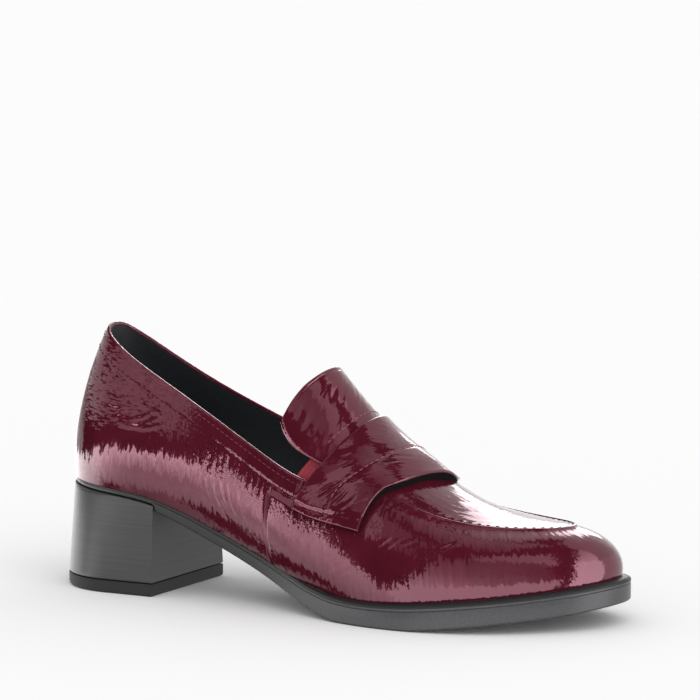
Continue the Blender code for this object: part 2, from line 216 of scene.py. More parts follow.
def cosine_shares(count: int) -> Array:
    """Give shares from 0 to 1 that crowd towards both ends, as a cosine does."""
    return 0.5 - 0.5 * np.cos(np.linspace(0, np.pi, count))


def both_ways(s: Array) -> Array:
    """Go round the foot: lateral stations 0 to 1, then back along the medial side, ends once."""
    return np.concatenate([s, 2 - s[-2:0:-1]])


def on_path(place: Array, mile: Array, values: Array) -> Array:
    """Interpolate points or vectors at distances along a path."""
    return np.stack([np.interp(place, mile, column) for column in values.T], -1)


def turned_chart(first: Array, second: Array) -> Array:
    """Make a pattern map whose creases run aslant: the two lengths turned by an eighth of a turn."""
    return np.stack([first - second, first + second], -1) / np.sqrt(2)


def slope_normal(surface: Callable[[Array, Array], Array], first: Array, second: Array) -> Array:
    """Give a surface's unit normals: the cross product of its slopes along both parameters.

    Args:
        surface: What gives points for two parameters.
        first: The first parameter.
        second: The second parameter.

    Returns:
        Unit vectors.
    """
    along = surface(first + NEAR, second) - surface(first - NEAR, second)
    return unit(np.cross(along, surface(first, second + NEAR) - surface(first, second - NEAR)))


def edge_drop(distance: Array, radius: float) -> Array:
    """Give how far a rounded edge falls away: a quarter circle of this radius at its end."""
    inward = np.clip(1.0 - distance / radius, 0.0, 1.0)
    return radius * (1.0 - np.sqrt(1.0 - inward * inward))


def closed_spline(knot: Array, value: Array, period: float, t: Array) -> Array:
    """Evaluate the smooth closed cubic through values at knots.

    Args:
        knot: Rising parameters of the values, within one period.
        value: The values there.
        period: The parameter's full turn.
        t: Where to evaluate.

    Returns:
        The curve's values, in the shape of t.
    """
    count = len(knot)
    span = np.diff(np.append(knot, knot[0] + period))
    slope = (np.roll(value, -1) - value) / span
    before = np.roll(span, 1)
    row = np.arange(count)
    matrix = np.zeros((count, count))
    matrix[row, row - 1] = span
    matrix[row, row] = 2 * (before + span)
    matrix[row, (row + 1) % count] = before
    tangent = np.linalg.solve(matrix, 3 * (span * np.roll(slope, 1) + before * slope))
    t = np.mod(np.asarray(t, float) - knot[0], period) + knot[0]
    i = np.clip(np.searchsorted(knot, t, side="right") - 1, 0, count - 1)
    j = (i + 1) % count
    u = (t - knot[i]) / span[i]
    ends = (1 + 2 * u) * (1 - u) ** 2 * value[i] + u * u * (3 - 2 * u) * value[j]
    return ends + span[i] * (u * (1 - u) ** 2 * tangent[i] + u * u * (u - 1) * tangent[j])


@dataclass
class Last:
    """The form that the shoe is made on, as curves and surfaces in millimetres."""

    length: float = 242.5
    ball_width: float = 72.0
    instep_height: float = 74.6
    heel_height: float = 44.6
    gap: float = 0.3
    apron_rear_x: float = 131.0
    feather_line: dict[str, Array] = field(init=False)
    rim_line: dict[str, Array] = field(init=False)
    fullness: dict[str, Array] = field(init=False)
    ridge_line: dict[str, Array] = field(init=False)
    knots: Array = field(init=False)

    def __post_init__(self) -> None:
        """Scale the section tables by the driving sizes, and space the sections out."""
        x, width, heel, instep = self.length, self.ball_width, self.heel_height, self.instep_height
        self.feather_line = self.columns(
            {"x": x, "lateral": width, "medial": width, "height": heel, "tread": heel, "ledge": 1.0},
            FEATHER_ROWS)
        self.rim_line = self.columns(
            {"x": x, "lateral": width, "medial": width, "lateral_height": instep, "medial_height": instep},
            RIM_ROWS)
        self.fullness = self.columns(
            {"low_out": 1.0, "low_up": 1.0, "high_out": 1.0, "high_down": 1.0}, FULLNESS_ROWS)
        self.ridge_line = self.columns({"x": x, "height": instep, "arch": 1.0}, RIDGE_ROWS)
        half = (self.feather_line["lateral"] + self.feather_line["medial"]) / 2
        step = np.hypot(np.diff(self.feather_line["x"]), np.diff(half))
        self.knots = np.insert(np.cumsum(step), 0, 0.0) / step.sum()

    @staticmethod
    def columns(scales: Mapping[str, float], rows: Rows) -> dict[str, Array]:
        """Give a section table's columns by name, each times its driving size."""
        values = np.array(list(rows.values()), float) * np.array(list(scales.values()))
        return dict(zip(scales, values.T))

    def round_foot(self, lateral: Array, medial: Array, t: Array) -> Array:
        """Follow two columns round the foot: t 0 to 1 on the lateral side, 2 to 1 on the medial."""
        values = np.concatenate([lateral, medial[-2:0:-1]])
        return closed_spline(both_ways(self.knots), values, 2.0, t)

    def both_sides(self, column: Array, t: Array) -> Array:
        """Follow a column that both sides of the foot share."""
        return self.round_foot(column, column, t)

    def feather(self, t: Array) -> Array:
        """Give points of the line where upper and sole meet.

        Args:
            t: Stations round the foot.

        Returns:
            Points in millimetres.
        """
        line = self.feather_line
        y = self.round_foot(-line["lateral"], line["medial"], t)
        return np.stack([self.both_sides(line["x"], t), y, self.both_sides(line["height"], t)], -1)

    def rim(self, t: Array) -> Array:
        """Give points of the topline and apron seam.

        Args:
            t: Stations round the foot.

        Returns:
            Points in millimetres.
        """
        line = self.rim_line
        y = self.round_foot(-line["lateral"], line["medial"], t)
        z = self.round_foot(line["lateral_height"], line["medial_height"], t)
        return np.stack([self.both_sides(line["x"], t), y, z], -1)

    def outward(self, t: Array) -> Array:
        """Give level unit vectors out of the feather line at stations round the foot."""
        step = self.feather(np.asarray(t) + NEAR) - self.feather(np.asarray(t) - NEAR)
        return unit(np.stack([step[..., 1], -step[..., 0], 0 * step[..., 0]], -1))

    def wall(self, t: Array, v: Array) -> Array:
        """Give points of the upper's wall: a cubic arc from the feather line, v 0, to the rim, v 1.

        Args:
            t: Stations round the foot.
            v: Shares up the wall.

        Returns:
            Points in millimetres.
        """
        t, v = np.broadcast_arrays(np.asarray(t, float), np.asarray(v, float))
        size = {name: self.both_sides(column, t)[..., None] for name, column in self.fullness.items()}
        out = self.outward(t)
        low, high = self.feather(t) + self.gap * UP, self.rim(t)
        swell = low + out * size["low_out"] + UP * size["low_up"]
        lean = high + out * size["high_out"] - UP * size["high_down"]
        v = v[..., None]
        ends = (1 - v) ** 3 * low + v ** 3 * high
        return ends + 3 * v * (1 - v) ** 2 * swell + 3 * v ** 2 * (1 - v) * lean

    def apron(self, s: Array, w: Array) -> Array:
        """Give points over the foot: the chord between the rims, w 0 to 1, arched up to the ridge.

        Args:
            s: Stations on the lateral side.
            w: Shares of the way across.

        Returns:
            Points in millimetres.
        """
        s, w = np.broadcast_arrays(np.asarray(s, float), np.asarray(w, float))
        lateral, medial = self.rim(s), self.rim(2 - s)
        middle = (lateral + medial) / 2
        x, height = (self.both_sides(self.ridge_line[name], s) for name in ("x", "height"))
        ridge = np.stack([x, middle[..., 1], height], -1)
        arch = np.clip(4 * w * (1 - w), 0, 1) ** self.both_sides(self.ridge_line["arch"], s)
        w = w[..., None]
        return (1 - w) * lateral + w * medial + arch[..., None] * (ridge - middle)

    def wall_normal(self, t: Array, v: Array) -> Array:
        """Give the wall's outward unit normals at stations and shares up the wall."""
        return slope_normal(self.wall, t, v)

    def apron_normal(self, s: Array, w: Array) -> Array:
        """Give the apron's upward unit normals at lateral stations and shares of the way across."""
        return slope_normal(self.apron, s, w)

    def station(self, column: Array, x: float) -> float:
        """Find the station whose column value is x."""
        s = np.linspace(0, 1, 2001)
        return float(np.interp(x, self.both_sides(column, s), s))

    def place_on_wall(self, x: float, z: float) -> Array:
        """Find the station and the share up the lateral wall of the point at x and z.

        It is the nearest point of a fine grid on the wall, within a short reach of x.

        Args:
            x: The point's distance from the heel.
            z: Its height.

        Returns:
            The station and the share.
        """
        column, reach = self.rim_line["x"], 20.0
        s = np.linspace(self.station(column, x - reach), self.station(column, x + reach), 161)[:, None]
        v = np.linspace(0, 1, 401)[None, :]
        points = self.wall(s, v)
        miss = np.hypot(points[..., 0] - x, points[..., 2] - z)
        i, k = np.unravel_index(np.argmin(miss), miss.shape)
        return np.array([s[i, 0], v[0, k]])


@dataclass
class Skin:
    """A closed surface: points in millimetres, faces, and a pattern map in millimetres."""

    points: Array
    faces: list[list[int]]
    chart: Array
    zone: Array | None = None

    @classmethod
    def carried(cls, profiles: Array, chart: Array | None = None, closed: bool = False,
                paired: int | None = None) -> "Skin":
        """Carry a closed profile along a path.

        Neighbouring profiles are joined by quads. An open path's two ends are closed by
        strips between a profile's first points and its last ones, taken in pairs.

        Args:
            profiles: The profile's points at each place on the path.
            chart: The pattern map at each point, or None for none.
            closed: Whether the path comes back to its start.
            paired: How many points from each end of the profile face each other, all by default.

        Returns:
            The closed surface.
        """
        count, size, _ = profiles.shape
        step, row = np.arange(size), np.arange(count if closed else count - 1)[:, None]
        here, there = row * size, (row + 1) % count * size
        after = (step + 1) % size
        quads = np.stack(np.broadcast_arrays(here + step, there + step, there + after, here + after), -1)
        faces = quads.reshape(-1, 4).tolist()
        if not closed:
            faces += cls.cap(size, paired or size // 2, 0, False)
            faces += cls.cap(size, paired or size // 2, (count - 1) * size, True)
        flat = np.zeros((count * size, 2)) if chart is None else chart.reshape(-1, 2)
        return cls(profiles.reshape(-1, 3), faces, flat)

    @staticmethod
    def cap(size: int, paired: int, start: int, turned: bool) -> list[list[int]]:
        """Close a profile with strips between its first and last points, and one face over the rest.

        Args:
            size: How many points a profile has.
            paired: How many points from each end face each other.
            start: The number of the profile's first point.
            turned: Whether the faces look the other way.

        Returns:
            The faces.
        """
        strips = [[k, k + 1, size - 2 - k, size - 1 - k] for k in range(paired - 1)]
        rest = list(range(paired - 1, size - paired + 1))
        if len(rest) > 2:
            strips.append(rest)
        return [[start + k for k in (strip[::-1] if turned else strip)] for strip in strips]

    @classmethod
    def shell(cls, outer: Array, inner: Array, chart: Array) -> "Skin":
        """Close a grid of outside points with the inside points that lie behind its first rows.

        Args:
            outer: Outside points, by place along and row.
            inner: Inside points behind the first rows.
            chart: The pattern map of the outside.

        Returns:
            The closed surface.
        """
        profiles = np.concatenate([outer, inner[:, ::-1]], axis=1)
        behind = chart[:, :inner.shape[1]]
        return cls.carried(profiles, np.concatenate([chart, behind[:, ::-1]], axis=1), False, inner.shape[1])

    def mesh(self, name: str, origin: Array, sharp_deg: float) -> bpy.types.Mesh:
        """Make the mesh in the row frame, in metres, with its poles merged and its faces outward.

        Args:
            name: The mesh's name.
            origin: The row frame's origin in the shoe's frame, in millimetres.
            sharp_deg: Edges that turn by more than this stay sharp.

        Returns:
            The mesh.
        """
        mesh = bpy.data.meshes.new(name)
        mesh.from_pydata(((self.points - origin) * MM).tolist(), [], self.faces)
        corner = np.empty(len(mesh.loops), np.int32)
        mesh.loops.foreach_get("vertex_index", corner)
        layer = mesh.uv_layers.new(name="Chart")
        layer.data.foreach_set("uv", (self.chart[corner] / CHART_MM).astype(np.float32).ravel())
        if self.zone is not None:
            mesh.attributes.new("zone", "FLOAT", "POINT").data.foreach_set("value", self.zone)
        work = bmesh.new()
        work.from_mesh(mesh)
        bmesh.ops.remove_doubles(work, verts=work.verts, dist=MERGE)
        bmesh.ops.dissolve_degenerate(work, edges=work.edges, dist=0.1 * MERGE)
        if work.calc_volume(signed=True) < 0:
            bmesh.ops.reverse_faces(work, faces=work.faces)
        work.to_mesh(mesh)
        work.free()
        mesh.shade_smooth()
        mesh.set_sharp_from_angle(angle=np.radians(sharp_deg))
        return mesh


def linear(code: str) -> tuple[float, float, float, float]:
    """Turn an sRGB hex colour into linear red, green, blue and alpha.

    Args:
        code: The colour, as #RRGGBB.

    Returns:
        The four linear values.
    """
    value = np.array([int(code[i:i + 2], 16) for i in (1, 3, 5)]) / 255
    low = value / 12.92
    high = ((value + 0.055) / 1.055) ** 2.4
    return (*np.where(value <= 0.04045, low, high).tolist(), 1.0)


def add_node(tree: bpy.types.NodeTree, kind: str, values: Mapping[Any, Any] | None = None,
             links: Mapping[Any, bpy.types.NodeSocket] | None = None, **settings: Any) -> bpy.types.Node:
    """Add one node with its settings, constant inputs and links.

    Args:
        tree: The node tree.
        kind: The node's type.
        values: Constant values by input name or number.
        links: Output sockets to link, by input name or number.
        **settings: The node's own properties.

    Returns:
        The node.
    """
    node = tree.nodes.new(kind)
    for name, value in settings.items():
        setattr(node, name, value)
    for key, value in (values or {}).items():
        node.inputs[key].default_value = value
    for key, socket in (links or {}).items():
        tree.links.new(socket, node.inputs[key])
    return node


def blank_material(name: str) -> tuple[bpy.types.Material, bpy.types.NodeTree, bpy.types.Node]:
    """Make a material with only a principled shader, and give its tree and shader.

    Args:
        name: The material's name.

    Returns:
        The material, its tree and its shader.
    """
    material = bpy.data.materials.new(name)
    material.use_nodes = True
    tree = material.node_tree
    return material, tree, tree.nodes["Principled BSDF"]


@dataclass(frozen=True)
class CrinklePatent:
    """Crinkle patent: calf leather under a thick lacquer that was creased as it dried.

    The eye gets a deep wine red, pinkish mirror reflections, and edges of those reflections
    torn into teeth by creases a millimetre or two wide that run up the panel. Over the heel
    counter the creases are coarser and lie level. Tilts are sideways slopes of the surface, and
    turns set the creases a little aslant on the map.
    """

    name: str = "crinkle_patent_leather"
    deep: str = "#43101B"
    bright: str = "#551624"
    sheen_tint: str = "#FFB0C9"
    ior: float = 1.6
    sheen_roughness: Pair = (0.07, 0.14)
    lacquer: float = 0.22
    lacquer_roughness: float = 0.03
    crease_mm: Pair = (1.5, 8.0)
    crease_tilt: float = 0.13
    level_mm: Pair = (3.8, 0.85)
    level_tilt: float = 0.32
    turns: Pair = (0.1, 0.15)
    grain_mm: float = 1.1
    grain_tilt: float = 0.06
    wave_mm: float = 16.0
    wave_height_mm: float = 0.14

    def material(self) -> bpy.types.Material:
        """Build the material: tilts and waves on the panel's map, under tinted sheen and lacquer.

        Returns:
            The material.
        """
        material, tree, shader = blank_material(self.name)
        chart = add_node(tree, "ShaderNodeUVMap", uv_map="Chart").outputs["UV"]
        counter = add_node(tree, "ShaderNodeAttribute", attribute_name="zone").outputs["Fac"]
        noises = {}
        patterns = (("crease", self.crease_mm, self.turns[0]), ("level", self.level_mm, self.turns[1]),
                    ("grain", (self.grain_mm, self.grain_mm), 0.0),
                    ("wave", (self.wave_mm, self.wave_mm), 0.0))
        for key, (across, along), turn in patterns:
            place = add_node(tree, "ShaderNodeMapping",
                             {"Scale": (CHART_MM / across, CHART_MM / along, 1.0), "Rotation": (0, 0, turn)},
                             {"Vector": chart}).outputs["Vector"]
            noises[key] = add_node(tree, "ShaderNodeTexNoise",
                                   {"Scale": 1.0, "Detail": 2.0, "Roughness": 0.5, "Distortion": 0.5},
                                   {"Vector": place}, noise_dimensions="2D").outputs["Fac"]
        tilts = {key: add_node(tree, "ShaderNodeMapRange",
                               {"To Min": 0.5 - tilt / 2, "To Max": 0.5 + tilt / 2},
                               {"Value": noises[key]}).outputs["Result"]
                 for key, tilt in (("crease", self.crease_tilt), ("level", self.level_tilt),
                                   ("grain", self.grain_tilt))}
        upright = add_node(tree, "ShaderNodeMix",
                           links={0: counter, 2: tilts["crease"], 3: tilts["level"]}).outputs[0]
        tilt = add_node(tree, "ShaderNodeCombineXYZ", {"Z": 1.0}, {"X": tilts["grain"], "Y": upright})
        leaned = add_node(tree, "ShaderNodeNormalMap", links={"Color": tilt.outputs["Vector"]},
                          uv_map="Chart").outputs["Normal"]
        normal = add_node(tree, "ShaderNodeBump", {"Strength": 1.0, "Distance": self.wave_height_mm * MM},
                          {"Height": noises["wave"], "Normal": leaned}).outputs["Normal"]
        tone = add_node(tree, "ShaderNodeMix", {6: linear(self.deep), 7: linear(self.bright)},
                        {0: noises["wave"]}, data_type="RGBA").outputs[2]
        low, high = self.sheen_roughness
        rough = add_node(tree, "ShaderNodeMapRange", {"To Min": low, "To Max": high},
                         {"Value": noises["wave"]}).outputs["Result"]
        for key, socket in (("Base Color", tone), ("Roughness", rough), ("Normal", normal),
                            ("Coat Normal", normal)):
            tree.links.new(socket, shader.inputs[key])
        for key, value in (("IOR", self.ior), ("Specular Tint", linear(self.sheen_tint)),
                           ("Coat Weight", self.lacquer), ("Coat Roughness", self.lacquer_roughness)):
            shader.inputs[key].default_value = value
        return material


@dataclass(frozen=True)
class SpeckledFinish:
    """A plain moulded or dyed material: two close tones in a fine grain, with its own roughness.

    The grain is worked out from a real size and read from Object coordinates, and it moves
    colour, roughness and height together, as pores and dust do.
    """

    name: str
    dark: str
    light: str
    rough_low: float
    rough_high: float
    grain_mm: float
    height_mm: float
    ior: float = 1.5
    line_mm: float = 0.0
    line_height_mm: float = 0.0
    line_run_mm: float = 250 / 3
    painted_shade_tone: str = ""

    def material(self) -> bpy.types.Material:
        """Build the material: grain noise, and level lines where the material is stacked.

        Returns:
            The material.
        """
        material, tree, shader = blank_material(self.name)
        place = add_node(tree, "ShaderNodeTexCoord").outputs["Object"]
        grain = add_node(tree, "ShaderNodeTexNoise",
                         {"Scale": 1 / (self.grain_mm * MM), "Detail": 4.0, "Roughness": 0.6},
                         {"Vector": place}).outputs["Fac"]
        shade, normal = grain, None
        if self.line_mm:
            run = 1 / (self.line_run_mm * MM)
            stretch = add_node(tree, "ShaderNodeMapping", {"Scale": (run, run, 1 / (self.line_mm * MM))},
                               {"Vector": place}).outputs["Vector"]
            shade = add_node(tree, "ShaderNodeTexNoise", {"Scale": 1.0, "Detail": 2.0, "Roughness": 0.7},
                             {"Vector": stretch}).outputs["Fac"]
            normal = add_node(tree, "ShaderNodeBump",
                              {"Strength": 1.0, "Distance": self.line_height_mm * MM},
                              {"Height": shade}).outputs["Normal"]
        ramp = add_node(tree, "ShaderNodeValToRGB", links={"Fac": shade})
        for stop, position, code in zip(ramp.color_ramp.elements, (0.3, 0.7), (self.dark, self.light)):
            stop.position = position
            stop.color = linear(code)
        rough = add_node(tree, "ShaderNodeMapRange", {"To Min": self.rough_low, "To Max": self.rough_high},
                         {"Value": grain}).outputs["Result"]
        links = {"Height": grain} | ({"Normal": normal} if normal else {})
        bump = add_node(tree, "ShaderNodeBump", {"Strength": 1.0, "Distance": self.height_mm * MM},
                        links).outputs["Normal"]
        tone = ramp.outputs["Color"]
        # Painted shade: where the zone attribute is 1, the tone turns to the painted shade tone.
        if self.painted_shade_tone:
            zone = add_node(tree, "ShaderNodeAttribute", attribute_name="zone").outputs["Fac"]
            tone = add_node(tree, "ShaderNodeMix", {7: linear(self.painted_shade_tone)}, {0: zone, 6: tone},
                            data_type="RGBA").outputs[2]
        tree.links.new(tone, shader.inputs["Base Color"])
        tree.links.new(rough, shader.inputs["Roughness"])
        tree.links.new(bump, shader.inputs["Normal"])
        shader.inputs["IOR"].default_value = self.ior
        return material


# Dyed pigskin lining: close pores and a dull, nearly black face.
LINING = SpeckledFinish("pigskin_lining", "#25272A", "#36383C", 0.5, 0.65, 0.7, 0.02)
# Felt under the strap: dead black and rough; it also fills the gap under the lifted strap as a painted
# shadow.
STRAP_FELT_AND_SHADOW = SpeckledFinish("strap_felt_and_shadow", "#09090A", "#121214", 0.85, 0.95, 0.5, 0.03, ior=1.2)
# Woven elastic: matt wine-red yarn between its ribs.
ELASTIC = SpeckledFinish("ribbed_elastic", "#86202F", "#B03A4B", 0.8, 0.95, 0.35, 0.03)
# Moulded polyurethane sole: dark grey with a soft satin skin, and painted shade that turns it nearly black
# in the waist.
SOLE_RUBBER = SpeckledFinish("moulded_sole", "#3E3E40", "#4A4A4C", 0.3, 0.42, 0.9, 0.012, ior=1.35,
                             painted_shade_tone="#121213")
# Inked welt: a black bead with a low sheen.
WELT_INK = SpeckledFinish("inked_welt", "#1E1E1F", "#29292B", 0.4, 0.55, 0.6, 0.012, ior=1.3)
# Stacked leatherboard heel under wax: grey-black with fine level lines, slightly glossy.
HEEL_STACK = SpeckledFinish("stacked_heel", "#202021", "#2E2E2F", 0.28, 0.4, 0.6, 0.006, ior=1.38,
                            line_mm=0.9, line_height_mm=0.02)
# Nitrile rubber top piece: dead black-grey and matt.
TOP_RUBBER = SpeckledFinish("top_piece_rubber", "#1D1D1E", "#29292A", 0.6, 0.75, 0.5, 0.02, ior=1.3)
# Bonded polyester thread: wine red, with a low sheen.
THREAD = SpeckledFinish("polyester_thread", "#6A2A38", "#A86470", 0.35, 0.5, 0.15, 0.02)
# The same thread along the topline, darkened by the lacquer.
EDGE_THREAD = SpeckledFinish("lacquered_thread", "#4C1622", "#70323F", 0.35, 0.5, 0.15, 0.02)
# Waxed linen thread of the apron seam: nearly black red and matt, sunk in its own holes.
SEAM_THREAD = SpeckledFinish("waxed_seam_thread", "#2C0A12", "#48141F", 0.7, 0.85, 0.15, 0.02, ior=1.25)


@dataclass
class Maker:
    """Adds finished pieces to the scene, and keeps each finish once."""

    origin: Array
    finishes: dict[str, bpy.types.Material] = field(default_factory=dict)

    def finish(self, look: CrinklePatent | SpeckledFinish) -> bpy.types.Material:
        """Give a finish's material, built on first use.

        Args:
            look: The finish.

        Returns:
            The material.
        """
        if look.name not in self.finishes:
            self.finishes[look.name] = look.material()
        return self.finishes[look.name]

    def add(self, name: str, skin: Skin, look: CrinklePatent | SpeckledFinish, slot: Slot,
            nodes: Sequence[str], sharp_deg: float = 50.0) -> None:
        """Add one piece that rides with the shoe.

        Args:
            name: The piece's name.
            skin: Its surface.
            look: Its finish.
            slot: The record's material slot; not used.
            nodes: The solids that it stands for.
            sharp_deg: Edges that turn by more than this stay sharp.
        """
        piece = bpy.data.objects.new(name, skin.mesh(name, self.origin, sharp_deg))
        bpy.context.scene.collection.objects.link(piece)
        piece.data.materials.append(self.finish(look))
        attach(piece, BODY)
        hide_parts(*nodes)
        LOG.info("%s: %d faces", name, len(piece.data.polygons))


@dataclass(frozen=True)
class Crease:
    """A soft trough with a low ridge on each side, along a bowed line.

    Its relief is -depth * (1 - k * k) * exp(-k * k / 2), where k is the distance from the
    bowed line over the width, faded out by a squared sine along the line.
    """

    start: Pair
    end: Pair
    bow: float
    width: float
    depth: float

    def relief(self, first: Array, second: Array) -> Array:
        """Give the relief at places in the plane that the start and the end are given in.

        Args:
            first: Places along the plane's first axis.
            second: Places along its second axis.

        Returns:
            The relief in millimetres.
        """
        run = np.subtract(self.end, self.start)
        length = float(np.hypot(*run))
        run = run / length
        a, b = first - self.start[0], second - self.start[1]
        along = np.clip((a * run[0] + b * run[1]) / length, 0.0, 1.0)
        across = (b * run[0] - a * run[1] - self.bow * 4 * along * (1 - along)) / self.width
        return -self.depth * np.sin(np.pi * along) ** 2 * (1 - across ** 2) * np.exp(-across ** 2 / 2)


def creased(creases: Sequence[Crease], first: Array, second: Array) -> Array:
    """Add up the relief of several creases."""
    return sum((crease.relief(first, second) for crease in creases), np.zeros_like(first))


# Creases of the quarter, as x and z on the shoe's outer side: arcs over the heel counter,
# then upright folds in the waist.
QUARTER_CREASES = (
    Crease((28, 75), (56, 79), -5, 1.1, 0.22),
    Crease((30, 72), (58, 75.5), -3.5, 1, 0.26),
    Crease((34, 70.5), (60, 72), -2, 1, 0.22),
    Crease((20, 80.5), (44, 79), -4, 1, 0.2),
    Crease((24, 84), (40, 81.5), -2.5, 0.9, 0.18),
    Crease((44, 82), (60, 73.5), -1.5, 0.9, 0.18),
    Crease((26, 92), (38, 85), -1, 0.9, 0.16),
    Crease((22, 95), (30, 88), 1, 0.8, 0.15),
    Crease((82, 55), (93, 34), -3, 0.9, 0.2),
    Crease((86, 54), (95, 35), -2, 0.8, 0.2),
    Crease((90, 53), (97, 34), -2, 0.8, 0.2),
    Crease((78, 54), (88, 38), -2, 0.8, 0.14),
    Crease((95, 50), (101, 34), -1.5, 0.8, 0.12),
)

# Creases of the vamp, as x and z on the shoe's outer side.
VAMP_CREASES = (
    Crease((160, 28), (168, 36.5), 0.8, 0.8, 0.16),
    Crease((166, 30), (172, 36), 0.5, 0.7, 0.14),
    Crease((170, 33), (178, 36), -0.5, 0.7, 0.12),
    Crease((184, 31), (196, 38), -1.2, 0.8, 0.16),
    Crease((140, 18), (152, 26), 1, 0.9, 0.14),
    Crease((146, 18), (156, 24), 0.8, 0.8, 0.12),
)

# Creases of the strap, as millimetres from its lateral end and from its rear edge.
STRAP_CREASES = (
    Crease((8, 9), (18, 14), 0.6, 0.8, 0.22),
    Crease((9, 13), (16, 16.5), 0.5, 0.7, 0.2),
    Crease((6, 18), (15, 22), 0.6, 0.8, 0.22),
    Crease((5, 22), (13, 27), 0.5, 0.8, 0.2),
    Crease((31, 19), (40, 25), -0.8, 1, 0.1),
    Crease((34, 17.5), (42, 22), -0.5, 0.9, 0.08),
    Crease((28, 22), (36, 27.5), -0.6, 0.9, 0.1),
    Crease((38, 20), (45, 24), -0.5, 0.9, 0.06),
    Crease((22, 7), (30, 11), 0.5, 0.8, 0.16),
    Crease((25, 4), (33, 8), 0.5, 0.8, 0.14),
    Crease((86, 9), (96, 14), 0.6, 0.8, 0.18),
    Crease((90, 18), (99, 23), 0.6, 0.8, 0.18),
)

# Creases of the tongue, as millimetres from its middle and from its foot.
TONGUE_CREASES = (
    Crease((-17, 26), (-7, 33), 0.8, 0.8, 0.18),
    Crease((-14, 22), (-5, 31), 0.6, 0.8, 0.2),
    Crease((-10, 21), (-2, 28), 0.6, 0.7, 0.18),
    Crease((-4, 20), (4, 27), -0.6, 0.8, 0.18),
    Crease((2, 18), (12, 24), -0.8, 0.8, 0.16),
    Crease((6, 26), (15, 32), 0.6, 0.8, 0.14),
)


